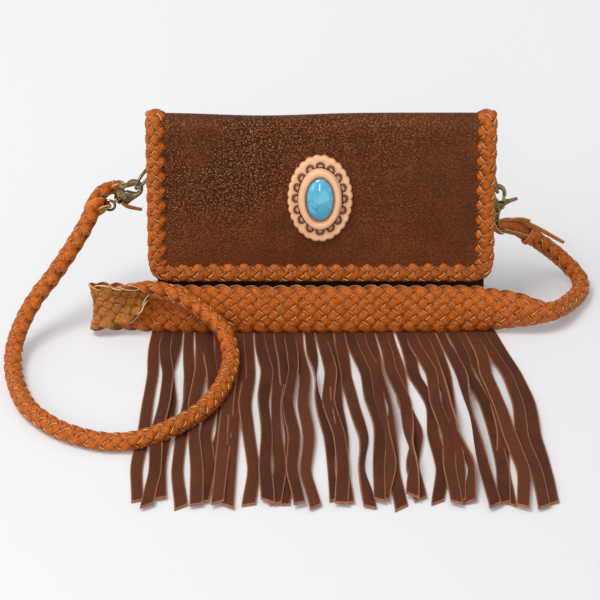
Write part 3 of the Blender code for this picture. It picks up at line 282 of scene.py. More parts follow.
def pebbled_leather():
    """Brown leather with a fine pebble grain, bolder at the top left, with painted glints where the light falls
    there, painted shade between the pebbles, and a painted shadow where the flap hangs over the front.
    """
    base = colours().leather
    look = Look("pebbled leather", shade(base, 0.74))
    split = look.add("SeparateXYZ", {"Vector": look.where}).outputs
    pebbles = look.add("TexVoronoi", {"Vector": look.where, "Scale": 590.0, "Randomness": 0.9}, feature="F1").outputs
    grain = pebbles["Distance"]
    worth = look.add("SeparateColor", {"Color": pebbles["Color"]}).outputs["Red"]
    # Painted light: towards the top left, where the light falls, the grain gets more painted glints, darker painted
    # shade between the pebbles and a stronger bump.
    corner = look.times(look.curve(split["X"], -0.10, 0.12, 1.0, 0.5), look.curve(split["Z"], 0.06, 0.13, 0.3, 1.0))
    bold_and_lit = look.times(look.curve(look.noise(13.0, 2.0), 0.38, 0.62, 0.35, 1.0), corner)
    look.paint(look.curve(look.noise(14.0, 4.0), 0.36, 0.66), shade(base, 1.22))
    look.paint(look.curve(look.noise(55.0), 0.35, 0.7, 0.0, 0.35), shade(base, 1.4))
    # Painted shade in the hollows between the pebbles, stronger towards the top left.
    pebble_shade = look.times(look.curve(grain, 0.34, 0.62), look.curve(bold_and_lit, 0.0, 1.0, 0.45, 0.95))
    look.paint(pebble_shade, shade(base, 0.26))
    # Painted glints: pale spots on some pebbles' crowns stand for highlights of the light from the top left.
    painted_glints = look.times(look.curve(grain, 0.08, 0.36, 1.0, 0.0), look.curve(worth, 0.2, 0.9, 0.15, 1.0))
    look.paint(look.times(painted_glints, bold_and_lit), (0.50, 0.31, 0.21))
    # Painted shadow: the front panel goes dark where the flap hangs over it. On other pieces this mark is real dark
    # colour.
    look.paint(look.attribute("dye_and_shade"), shade(base, 0.16))
    height = look.math("SUBTRACT", 1.0, look.math("POWER", grain, 2.0))
    return look.finish({
        "Roughness": look.curve(grain, 0.2, 0.6, 0.36, 0.6),
        "Specular IOR Level": 0.38,
        "Specular Tint": (1.0, 0.68, 0.44),
        "Normal": look.bump(height, 0.0013, look.curve(bold_and_lit, 0.0, 1.0, 0.3, 1.0)),
    })


def thong_leather():
    """Tan thong: mottled creased face, pale cut edges, a fibrous back, painted shade where it dips under the next
    thong, and a painted highlight on its crowns.
    """
    base = colours().thong
    look = Look("tan thong", shade(base, 0.82))
    back, deep = look.attribute("flesh"), look.attribute("deep")
    streak = look.noise(1.0, 4.0, 0.65, where=look.place("UV", (240, 1400, 1)))
    fold = look.noise(1.0, 3.0, 0.5, 1.2, look.place("UV", (520, 330, 1)))
    mottle = look.noise(330.0, 4.0, 0.7)
    fuzz = look.noise(800.0, 5.0, 0.75)
    look.paint(look.curve(look.attribute("tone"), 0.0, 1.0), shade(base, 1.18))
    look.paint(look.curve(look.noise(60.0), 0.35, 0.7, 0.0, 0.6), shade(base, 1.30))
    # Painted highlight: the crowns, away from the crevices, are lighter and warmer.
    look.paint(look.curve(deep, 0.0, 0.25, 0.45, 0.0), (0.70, 0.185, 0.022))
    look.paint(look.curve(mottle, 0.42, 0.68, 0.0, 0.5), shade(base, 0.60))
    look.paint(look.curve(mottle, 0.30, 0.46, 0.35, 0.0), (0.86, 0.27, 0.045))
    look.paint(look.curve(streak, 0.45, 0.8, 0.0, 0.45), shade(base, 0.55))
    look.paint(look.curve(fold, 0.50, 0.66, 0.0, 0.6), shade(base, 0.45))
    look.paint(back, look.mix(look.curve(fuzz, 0.35, 0.7), (0.42, 0.125, 0.018), (0.80, 0.33, 0.075)))
    # Painted shade in the crevices where a thong dips under the next one.
    look.paint(look.times(deep, 0.96), shade(base, 0.09))
    edge = look.times(look.curve(look.attribute("rim"), 0.2, 0.8), look.curve(fuzz, 0.25, 0.55, 0.5, 1.0))
    look.paint(edge, colours().cut_edge)
    pores = look.bump(look.math("ADD", streak, look.noise(1900.0, 3.0, 0.6)), 0.00025, 0.6)
    creases = look.bump(fold, 0.0013, 0.9, pores)
    return look.finish({
        "Roughness": look.curve(back, 0.0, 1.0, 0.5, 0.92),
        "Specular IOR Level": 0.3,
        "Specular Tint": (1.0, 0.80, 0.60),
        "Normal": look.bump(look.times(fuzz, back), 0.0008, 1.0, creases),
    })


def suede_leather():
    """Brown suede with a short nap and paler cut edges."""
    base = colours().suede
    look = Look("brown suede", shade(base, 0.66))
    nap = look.noise(420.0, 5.0, 0.7)
    look.paint(look.curve(look.attribute("tone"), 0.0, 1.0), shade(base, 1.25))
    look.paint(look.curve(look.noise(28.0), 0.35, 0.7, 0.0, 0.6), shade(base, 1.4))
    look.paint(look.curve(nap, 0.4, 0.7, 0.0, 0.5), shade(base, 0.6))
    edge = look.curve(look.attribute("rim"), 0.3, 0.85, 0.0, 0.9)
    look.paint(look.times(edge, look.curve(nap, 0.3, 0.6, 0.45, 1.0)), (0.46, 0.19, 0.10))
    return look.finish({
        "Roughness": 0.92,
        "Sheen Weight": 0.12,
        "Sheen Roughness": 0.5,
        "Sheen Tint": (0.75, 0.42, 0.28),
        "Specular IOR Level": 0.2,
        "Normal": look.bump(nap, 0.0003, 0.7),
    })


def tooled_leather():
    """Pale tan tooled leather, burnished round its edges, and dyed dark in whatever is stamped into it."""
    base = colours().concho
    look = Look("tooled leather", shade(base, 0.90))
    pores = look.noise(900.0, 4.0, 0.6)
    look.paint(look.curve(look.noise(60.0), 0.35, 0.7), shade(base, 1.05))
    look.paint(look.curve(pores, 0.5, 0.75, 0.0, 0.25), shade(base, 0.7))
    burnish = look.math("MAXIMUM", look.attribute("tone"), look.times(look.attribute("rim"), 0.75))
    look.paint(burnish, (0.56, 0.175, 0.045))
    look.paint(look.curve(look.attribute("dye_and_shade"), 0.15, 0.85), (0.040, 0.012, 0.007))
    return look.finish({
        "Roughness": 0.42,
        "Coat Weight": 0.15,
        "Coat Roughness": 0.3,
        "Normal": look.bump(pores, 0.00008, 0.6),
    })


def turquoise_stone():
    """Clouded turquoise with a few thin dark veins, under a polish."""
    base = colours().turquoise
    look = Look("turquoise", shade(base, 0.86))
    drift = look.add("TexNoise", {"Vector": look.where, "Scale": 75.0, "Detail": 2.0}).outputs["Color"]
    shift = look.add("VectorMath", {0: drift, "Scale": 0.014}, operation="SCALE").outputs["Vector"]
    warped = look.add("VectorMath", {0: look.where, 1: shift}, operation="ADD").outputs["Vector"]
    sockets = {"Vector": warped, "Scale": 62.0, "Randomness": 1.0}
    veins = look.add("TexVoronoi", sockets, feature="DISTANCE_TO_EDGE").outputs["Distance"]
    look.paint(look.curve(look.noise(90.0, 4.0), 0.35, 0.7), (0.17, 0.66, 0.86))
    patchy = look.times(look.curve(veins, 0.0, 0.040, 1.0, 0.0), look.curve(look.noise(60.0, 2.0), 0.42, 0.58))
    look.paint(look.times(patchy, 0.75), (0.02, 0.22, 0.30))
    return look.finish({"Roughness": 0.14, "Coat Weight": 0.8, "Coat Roughness": 0.05})


def antique_brass():
    """Dull brass, dark in its corners and bright where wear has rubbed its edges."""
    base = colours().brass
    look = Look("antique brass", shade(base, 0.62))
    dye_and_shade = look.attribute("dye_and_shade")
    look.paint(look.curve(look.noise(150.0, 3.0, 0.5), 0.35, 0.68), shade(base, 1.35))
    look.paint(look.times(look.attribute("rim"), 0.75), (0.70, 0.58, 0.32))
    look.paint(dye_and_shade, (0.014, 0.010, 0.006))
    return look.finish({
        "Metallic": 1.0,
        "Roughness": look.curve(dye_and_shade, 0.0, 1.0, 0.24, 0.7),
        "Normal": look.bump(look.noise(900.0, 2.0), 0.00003, 0.4),
    })


MATERIAL_MAKERS = {
    "pebbled leather": pebbled_leather,
    "tan thong": thong_leather,
    "brown suede": suede_leather,
    "tooled leather": tooled_leather,
    "turquoise": turquoise_stone,
    "antique brass": antique_brass,
}
LOOKS = {}


def look_of(name):
    """One of the object's materials, made when it is first asked for."""
    if name not in LOOKS:
        LOOKS[name] = MATERIAL_MAKERS[name]()
    return LOOKS[name]


# Lines and meshes


def smooth(value):
    value = np.clip(value, 0.0, 1.0)
    return value * value * (3 - 2 * value)


def unit(vectors):
    return vectors / np.linalg.norm(vectors, axis=-1, keepdims=True)


def square_to(along, vectors):
    """The vectors, each made square to the line it stands on."""
    return unit(vectors - along * np.sum(along * vectors, axis=1, keepdims=True))


def walk(points):
    """The distance walked at each of a line's points."""
    return np.concatenate([[0.0], np.cumsum(np.linalg.norm(np.diff(points, axis=0), axis=1))])


def read_at(places, walked, values):
    """The values along a line, read at places on it. Rows of several values are read one by one."""
    if values.ndim == 1:
        return np.interp(places, walked, values)
    return np.stack([np.interp(places, walked, column) for column in values.T], axis=-1)


def new_piece(name, mesh, look):
    piece = bpy.data.objects.new(name, mesh)
    bpy.context.scene.collection.objects.link(piece)
    mesh.materials.append(look_of(look))
    return piece


def finish_piece(piece, body, slot, *nodes):
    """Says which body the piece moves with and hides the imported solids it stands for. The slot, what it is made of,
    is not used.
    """
    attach(piece, body)
    if nodes:
        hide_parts(*nodes)


def set_points(mesh, points):
    mesh.vertices.foreach_set("co", points.astype(np.float32).reshape(-1))


def set_attribute(mesh, name, values):
    mesh.attributes.new(name, "FLOAT", "POINT").data.foreach_set("value", values.astype(np.float32))


def loft_piece(name, parts, look, sharp=50.0):
    """One object of several lofts. A part holds points (rows, ring, 3), and point attributes and uv that fit them."""
    points, faces, uvs, values = [], [], [], {}
    offset = 0
    for part in parts:
        grid = part["points"]
        rows, ring = shape = grid.shape[:2]
        index = offset + np.arange(rows * ring).reshape(shape)
        turned = np.roll(index, -1, axis=1)
        closed = part.get("closed", False)
        below = index if closed else index[:-1]
        next_row = np.roll(index, -1, axis=0) if closed else index[1:]
        next_turned = np.roll(next_row, -1, axis=1)
        turned = turned if closed else turned[:-1]
        quads = np.stack([below, turned, next_turned, next_row], axis=-1).reshape(-1, 4)
        near = np.arange(ring // 2 - 1)
        far = ring - 1 - near
        ends = []
        for row, order in () if closed else ((0, 1), (rows - 1, -1)):
            cap = [index[row][near], index[row][far], index[row][far - 1], index[row][near + 1]]
            ends.append(np.stack(cap, axis=-1)[:, ::order])
        block = np.concatenate([quads, *ends])
        if part.get("flip"):
            block = block[:, ::-1]
        faces.append(block)
        points.append(grid.reshape(-1, 3))
        flat = [np.broadcast_to(value, shape).reshape(-1) for value in part.get("uv", (0.0, 0.0))]
        uvs.append(np.stack(flat, axis=-1)[block.reshape(-1) - offset])
        for key in ("rim", "flesh", "tone", "deep", "dye_and_shade"):
            values.setdefault(key, []).append(np.broadcast_to(part.get(key, 0.0), shape).reshape(-1))
        offset += rows * ring
    points, faces = np.concatenate(points), np.concatenate(faces)
    mesh = bpy.data.meshes.new(name)
    mesh.vertices.add(len(points))
    set_points(mesh, points)
    mesh.loops.add(faces.size)
    mesh.loops.foreach_set("vertex_index", faces.astype(np.int32).reshape(-1))
    mesh.polygons.add(len(faces))
    mesh.polygons.foreach_set("loop_start", np.arange(0, faces.size, 4, dtype=np.int32))
    mesh.update(calc_edges=True)
    mesh.validate()
    layer = mesh.uv_layers.new(name="strand")
    layer.uv.foreach_set("vector", np.concatenate(uvs).astype(np.float32).reshape(-1))
    for key, value in values.items():
        set_attribute(mesh, key, np.concatenate(value))
    mesh.shade_smooth()
    mesh.set_sharp_from_angle(angle=math.radians(sharp))
    return new_piece(name, mesh, look)


def smooth_route(points, step):
    """The distances and the points at even steps on a smooth curve through the given ones."""
    points = np.array(points, float)
    padded = np.concatenate([points[:1], points, points[-1:]])
    fine = []
    for i in range(len(points) - 1):
        a, b, c, d = padded[i : i + 4]
        for share in np.arange(12) / 12:
            bend = (2 * a - 5 * b + 4 * c - d) * (share * share) + (3 * b - a - 3 * c + d) * share**3
            fine.append(0.5 * (2 * b + (c - a) * share + bend))
    fine = np.array([*fine, points[-1]])
    walked = walk(fine[:, :3])
    even = np.linspace(0, walked[-1], round(walked[-1] / step) + 1)
    return even, read_at(even, walked, fine)


# Thongs


def ribbon(t, x, h, half, thick):
    """A flat strand in braid space: along the braid, across it and above it, with its rim and its back marked."""
    dt, dx = np.gradient(t), np.gradient(x)
    norm = np.hypot(dt, dx)
    reach = ACROSS * half[:, None]
    return {
        "t": t[:, None] - (dx / norm)[:, None] * reach,
        "x": x[:, None] + (dt / norm)[:, None] * reach,
        "h": h[:, None] + HEIGHT * thick,
        "rim": CUT_EDGES,
        "flesh": BACK_FACE,
        "uv": (walk(np.stack([t, x], axis=-1))[:, None], reach),
    }


def sweep(line, side, out, half, thick):
    """A thong's section carried along a line: its points, and how far each is to the side."""
    reach = ACROSS * np.broadcast_to(half, len(line))[:, None]
    return line[:, None] + side[:, None] * reach[..., None] + out[:, None] * (HEIGHT * thick)[:, None], reach


def crease_shade(over):
    """How much painted shade a thong gets where it dips under the next one, most of all along its sides."""
    side = np.abs(ACROSS)
    seen = over[:, None] * np.where(BACK_FACE > 0, -1.0, 1.0)
    return np.clip(smooth((0.62 - seen) / 1.1) * (0.5 + 0.5 * side) + 0.5 * side**5, 0, 1)


def wave(phase):
    """A strand's height as it goes over one strand and under the next, flat where it is over or under."""
    c = np.cos(phase)
    return 1.35 * c - 0.35 * c**3


# Strap


def strap_frames():
    """The distances along the strap, its middle line, its directions up and across, and half its height."""
    route = [(x / 1000, y / 1000, z / 1000, half / 1000, lean) for x, y, z, half, lean in STRAP_ROUTE]
    even, line = smooth_route(route, 0.001)
    middle = line[:, :3]
    along = unit(np.gradient(middle, axis=0))
    up = square_to(along, np.stack([np.zeros(len(line)), line[:, 4], np.ones(len(line))], axis=-1))
    return even, middle, up, np.cross(along, up), line[:, 3]


def strap_place(frames, t, x, h):
    """Braid space turned into the bag's frame: the braid lies flat, or rolls into a tube round its middle line."""
    even, middle, up, across, high = frames
    full = sizes().strap_width
    narrowed = lambda roll: 1 - 0.10 * smooth((roll - 0.3) / 0.6)
    rolls = np.linspace(0.04, 1.07, 64)
    radius = full * narrowed(rolls) / (2 * math.pi * rolls)
    high = high * (1 + 0.075 * smooth((high - 0.007) / 0.007))
    reach = radius * np.sin(np.minimum(rolls * math.pi, math.pi / 2)) + STRAP_WALL * smooth(rolls * 1.5)
    place = np.clip(t, 0, even[-1])
    at = lambda values: read_at(place, even, values)
    turn = at(np.interp(-high, -reach, rolls))
    size = at(np.minimum(1.0, high / reach[-1])) * narrowed(turn)
    h = h + 0.0014 * x / full * smooth((turn - 0.8) / 0.2)
    bend = full * size / (2 * math.pi * turn)
    angle = x * size / bend
    centre = bend * np.sin(turn * math.pi) / (turn * math.pi)
    out = ((bend + h) * np.cos(angle) - centre)[..., None]
    side = ((bend + h) * np.sin(angle))[..., None]
    beyond = (t - place)[..., None]
    return at(middle) + at(across) * out + at(up) * side + at(np.cross(up, across)) * beyond


def strap_strands(total):
    """Eight thongs that each go over one and under one, from edge to edge and back, and lie loose at the end."""
    own = sizes()
    travel = (own.strap_width - own.thong_width) / 2
    height = own.thong_thickness * 0.62
    t = np.linspace(0, total, round(total / 0.0016) + 1)
    loose, settle = total - 0.050, 0.009
    braided = np.where(t < loose, t, loose + settle * (1 - np.exp(-(t - loose) / settle)))
    calm = 1 - smooth((t - loose) / 0.02)
    sharp = 0.975
    chance = random.Random(8)
    parts = []
    for strand in range(STRAP_STRANDS):
        phase = (braided / own.strap_period + strand / STRAP_STRANDS) % 1.0
        x = travel * np.arcsin(sharp * np.cos(2 * math.pi * phase)) / math.asin(sharp)
        near_top = (phase < 1 / 16) | (phase > 15 / 16)
        near_low = np.abs(phase - 0.5) < 1 / 16
        at_top, at_low = np.sin(8 * math.pi * ((phase + 0.5) % 1 - 0.5)), -np.sin(8 * math.pi * (phase - 0.5))
        crossing = -wave(16 * math.pi * phase) * np.where(phase < 0.5, 1, -1)
        over = np.where(near_top | near_low, np.where(near_top, at_top, at_low), crossing)
        stray = 0.0012 * chance.uniform(-1, 1) * np.sin(60 * t + 6 * chance.random()) * (1 - calm)
        lumps = 1 + 0.07 * np.sin(170 * t + 40 * chance.random()) + 0.04 * np.sin(390 * t + 9 * strand)
        half = own.thong_width / 2 * lumps
        part = ribbon(t, x + stray, height * over * calm + stray, half, own.thong_thickness)
        part["tone"] = chance.random() * 0.7 + 0.3 * (0.5 + 0.5 * np.sin(90 * t + 20 * chance.random()))[:, None]
        # Painted shade where the thong dips under the next one.
        part["deep"] = crease_shade(over)
        parts.append(part)
    return parts


def make_strap():
    """The strap, plaited flat and then rolled, clear of the table."""
    frames = strap_frames()
    even, middle = frames[:2]
    parts = strap_strands(even[-1])
    for part in parts:
        part["points"] = strap_place(frames, part["t"], part["x"], part["h"])
        part["points"][..., 2] = np.maximum(part["points"][..., 2], 0.0003)
        part["flip"] = True
    strap = loft_piece("strap", parts, "tan thong", 60)
    finish_piece(strap, "bag", "tan_lace", "braided_strap")
    make_tails(frames)


def thong_on(line, half, facing, tone):
    """A loose thong along a line, narrower towards its end, with its face turned a given way."""
    even, line = smooth_route(np.array(line) / 1000, 0.0010)
    along = unit(np.gradient(line, axis=0))
    side = unit(np.cross(along, np.array(facing, float)))
    half = half * (1 - 0.25 * (even / even[-1]) ** 4)
    grid, reach = sweep(line, side, np.cross(side, along), half, TAIL_THICKNESS)
    marks = {"rim": CUT_EDGES, "flesh": BACK_FACE, "tone": tone}
    return {"points": grid, "uv": (even[:, None], reach), "flip": True, **marks}


def make_tails(frames):
    """The thongs' loose ends at both clasps, the loops through the eyes, and the thong wound round each end."""
    parts = [thong_on(line, 0.0019, (0, 1, 0.25), index / 4) for index, line in enumerate(TAILS)]
    parts += [thong_on(line, 0.0019, (0.2, 1, 0.5), 0.5) for line in EYE_LOOPS]
    parts += [thong_on(line, 0.0024, (0, 1, 0.4), 0.8) for line in LOOSE_THONGS]
    even, middle, up, across, high = frames
    turns = np.linspace(0, 2 * math.pi, 41)[:-1]
    for distance, tilt in ((0.0285, 0.35), (even[-1] - 0.0485, -0.3)):
        row = int(np.searchsorted(even, distance))
        along = np.cross(up[row], across[row])
        outward = up[row] * np.cos(turns)[:, None] + across[row] * np.sin(turns)[:, None]
        centre = middle[row] + outward * (high[row] + 0.0011) + along * (0.012 * tilt * np.sin(turns))[:, None]
        grid, _ = sweep(centre, np.broadcast_to(along, centre.shape), outward, 0.0026, TAIL_THICKNESS)
        parts.append({"points": grid, "rim": CUT_EDGES, "tone": 0.6, "closed": True})
    tails = loft_piece("strap_tails", parts, "tan thong", 60)
    finish_piece(tails, "bag", "tan_lace")
    return tails


# Laced edges


def leather_line(s, out=0.0):
    """Y and Z at the distance s from the hinge, down the back where it is negative and along the flap where not."""
    s = np.asarray(s, float)
    angle = np.clip(s / FOLD_MIDDLE, 0, FOLD_ANGLE)
    straight = np.maximum(s - FOLD_LENGTH, 0)
    below = np.maximum(-s, 0)
    y = FOLD_Y + (FOLD_MIDDLE + out) * np.cos(angle) - straight * math.sin(FLAP_LEAN) + below * math.sin(BACK_LEAN)
    z = HINGE_Z + (FOLD_MIDDLE + out) * np.sin(angle) - straight * math.cos(FLAP_LEAN) - below * math.cos(BACK_LEAN)
    return y, z


def flap_share(s):
    """How far a place belongs to the flap, which is wider than the back."""
    return smooth((s + 0.012) / 0.024)


def lace_line():
    """The laced edge's middle line from the back's right foot, over the top and round the flap, at even steps."""
    bottom, step = FLAP_LENGTH - LACE_INSET, 0.001
    half, corner = 0.1285, 0.009
    straight = np.arange(step - BACK_LENGTH, bottom - corner, step)
    turns = np.linspace(0, math.pi / 2, 15)[:-1]
    bar = np.arange(half - corner, 0, -step)
    s = np.concatenate([straight, bottom - corner + corner * np.sin(turns), np.full(len(bar), bottom)])
    x = [0.126 + 0.0025 * flap_share(straight), half - corner + corner * np.cos(turns), bar]
    share = flap_share(s)
    right = np.stack([np.concatenate(x), *leather_line(s, 0.00145 * (1 - share))], axis=-1)
    (y1, z1), (y0, z0) = leather_line(s, 0.001), leather_line(s)
    out = unit(np.stack([0 * s, np.where(s < 0, 1.0, y1 - y0), np.where(s < 0, 0.0, z1 - z0)], axis=-1))
    line = np.concatenate([right, (right * [-1, 1, 1])[::-1]])
    walked = walk(line)
    even = np.linspace(0, walked[-1], round(walked[-1] / step) + 1)
    line = read_at(even, walked, line)
    out = unit(read_at(even, walked, np.concatenate([out, out[::-1]])))
    share = read_at(even, walked, np.concatenate([share, share[::-1]]))
    along = unit(np.gradient(line, axis=0))
    out = square_to(along, out)
    return even, line, np.cross(out, along), out, share


def make_laces():
    """Six thongs plaited round the edge of the back and the flap, in one length."""
    even, line, across, out, share = lace_line()
    own = sizes()
    thick = LACE_THICKNESS
    wide = 0.006 + 0.001 * share - 0.8 * thick
    deep = 0.00255 + 0.00095 * share - 0.8 * thick
    angles = np.linspace(0, 2 * math.pi, 241)
    walked = walk(np.stack([0.0058 * np.cos(angles), 0.0023 * np.sin(angles)], axis=-1))
    girth = walked[-1]
    turn = 3 * even[-1] / round(even[-1] / own.lobe)
    t = np.linspace(0, even[-1], round(even[-1] / 0.0011) + 1)
    over = wave(6 * math.pi * t / turn)
    chance = random.Random(3)
    parts = []
    for way in (1, -1):
        for strand in range(3):
            x = girth * (way * t / turn + strand / 3)
            lumps = 1 + 0.05 * np.sin(230 * t + 17 * strand) + 0.05 * np.sin(410 * t + 5 * way)
            part = ribbon(t, x, way * (0.66 * thick * over), own.lace_width / 2 * lumps, thick)
            place = np.clip(part["t"], 0, even[-1])
            at = lambda values: read_at(place, even, values)
            round_share = (part["x"] / girth) % 1.0
            moved = round_share - 0.045 * np.sin(2 * math.pi * round_share)
            angle = np.interp(moved * girth, walked, angles)
            scallop = -np.cos(6 * math.pi * place / turn) * smooth(-np.cos(angle) * 1.6)
            a, b = at(wide) * (1 + 0.13 * scallop * at(share)), at(deep)
            normal = unit(np.stack([np.cos(angle) / a, np.sin(angle) / b], axis=-1)) * part["h"][..., None]
            to_side = (a * np.cos(angle) + normal[..., 0])[..., None]
            to_front = (b * np.sin(angle) + normal[..., 1])[..., None]
            part["points"] = at(line) + at(across) * to_side + at(out) * to_front
            part["tone"] = chance.random()
            # Painted shade where a thong dips under the next one, and in the notches between the edge's lobes.
            part["deep"] = np.clip(crease_shade(way * over) + 0.5 * smooth(-scallop), 0, 1)
            parts.append(part)
    laces = loft_piece("edge_lacing", parts, "tan thong", 60)
    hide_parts("flap_lace", "back_lace_left", "back_lace_right")
    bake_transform(laces)


# Leather


def two_faced(outer, inner):
    """One ring of points per row, out along one face of a sheet and back along the other."""
    return np.concatenate([outer, inner[:, ::-1]], axis=1)


def rounded(half, corner, drop):
    """Half a panel's width, less as the drop goes from 0 to 1 down its rounded corner."""
    return half - corner * (1 - np.sqrt(np.clip(1 - drop**2, 0, 1)))


def flap_swell(x, s):
    """How far the leather stands off its even line: slight waves on the front, but none under the concho."""
    waves = 0.0005 * np.sin(41 * x + 1.0) * np.sin(52 * s + 0.4) + 0.0003 * np.sin(83 * x + 30 * s)
    concho = np.exp(-((x / 0.045) ** 2 + ((s - 0.085) / 0.055) ** 2) ** 2)
    return waves * smooth((s - 0.02) / 0.03) * (1 - concho)


def make_flap_leather():
    """The back and the flap in one piece of leather, which sags a little along the top."""
    end, corner = FLAP_LENGTH - LACE_INSET, 0.008
    back = np.linspace(-BACK_LENGTH + 0.0003, -0.002, 70)
    s = np.concatenate([back, np.linspace(0, FOLD_LENGTH, 34)[:-1], np.linspace(FOLD_LENGTH, end, 90)])
    half = rounded(0.1255 + 0.0025 * flap_share(s), corner, np.clip((s - (end - corner)) / corner, 0, 1))
    x = np.linspace(-1, 1, 131) * half[:, None]
    down = np.broadcast_to(s[:, None], x.shape)
    sag = 0.0026 * np.exp(-(((x + 0.045) / 0.05) ** 2)) * np.exp(-(((down - 0.0155) / 0.020) ** 2))
    faces = []
    for side in (1, -1):
        y, z = leather_line(down, side * LEATHER / 2 + flap_swell(x, down))
        faces.append(np.stack([x, y, z - sag], axis=-1))
    part = {"points": two_faced(*faces), "uv": (s[:, None], two_faced(x, x))}
    leather = loft_piece("flap_leather", [part], "pebbled leather", 40)
    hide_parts("flap", "back_panel")
    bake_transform(leather)


def make_gusset():
    """One strip from one side down round the bottom and up the other side, creased a little inwards."""
    inner, gap = BODY_HALF - BODY_CORNER, 0.0003
    turns = np.linspace(0, math.pi / 2, 16)
    right = [(BODY_HALF, z) for z in np.linspace(FRONT_TOP, BODY_CORNER, 70)[:-1]]
    right += [(inner + BODY_CORNER * math.cos(a), BODY_CORNER - BODY_CORNER * math.sin(a)) for a in turns]
    bottom = [(x, 0.0) for x in np.linspace(inner, -inner, 90)[1:-1]]
    path = np.array(right + bottom + [(-x, z) for x, z in right[::-1]])
    ahead = unit(np.gradient(path, axis=0))
    inward = np.stack([ahead[:, 1], -ahead[:, 0]], axis=-1)
    height = path[:, 1]
    front = -BASE_DEPTH / 2 + FRONT_SLOPE * height + LEATHER + gap
    back = BASE_DEPTH / 2 - math.tan(BACK_LEAN) * height - LEATHER - gap
    share = np.linspace(0, 1, 17)
    y = front[:, None] + (back - front)[:, None] * share
    fold = 0.0006 * np.sin(math.pi * share)[None] * smooth((height - 0.02) / 0.03)[:, None]
    faces = []
    for depth in (0.0, LEATHER):
        place = path[:, None] + inward[:, None] * (fold + depth)[..., None]
        faces.append(np.stack([place[..., 0], y, place[..., 1]], axis=-1))
    strip = loft_piece("gusset_leather", [{"points": two_faced(*faces), "flip": True}], "pebbled leather", 40)
    finish_piece(strip, "bag", "brown_leather", "gusset")


def make_front():
    """The front panel, with a painted shadow where the flap hangs over it."""
    turns = np.linspace(0, math.pi / 2, 12)
    z = np.concatenate([BODY_CORNER * (1 - np.cos(turns)), np.linspace(BODY_CORNER, FRONT_TOP, 50)[1:]])
    share = np.linspace(-1, 1, 101)
    x = share * rounded(BODY_HALF, BODY_CORNER, np.clip(1 - z / BODY_CORNER, 0, 1))[:, None]
    height = np.broadcast_to(z[:, None], x.shape)
    soft = 0.0006 * np.sin(38 * x + 0.6) * np.sin(60 * height) * np.clip((1 - np.abs(share)) * 6, 0, 1)
    outer = -BASE_DEPTH / 2 + FRONT_SLOPE * height + np.abs(soft)
    faces = [np.stack([x, outer + depth, height], axis=-1) for depth in (0.0, LEATHER)]
    # Painted shadow under the flap: the panel darkens upwards from about 20 mm above the table.
    painted_flap_shadow = 0.85 * smooth((z - 0.020) / 0.012)[:, None]
    part = {"points": two_faced(*faces), "uv": (z[:, None], two_faced(x, x)), "dye_and_shade": painted_flap_shadow, "flip": True}
    panel = loft_piece("front_leather", [part], "pebbled leather", 40)
    finish_piece(panel, "bag", "brown_leather", "front_panel")


# Fringe


def wander(chance, share, size):
    """A slow random drift along a strand, with a few soft kinks."""
    knots = [0.0] + [chance.uniform(-size, size) for _ in range(6)]
    rough = np.interp(share, np.linspace(0, 1, 7), knots)
    kernel = np.hanning(19) / np.hanning(19).sum()
    return np.convolve(np.pad(rough, 9, mode="edge"), kernel, mode="valid")


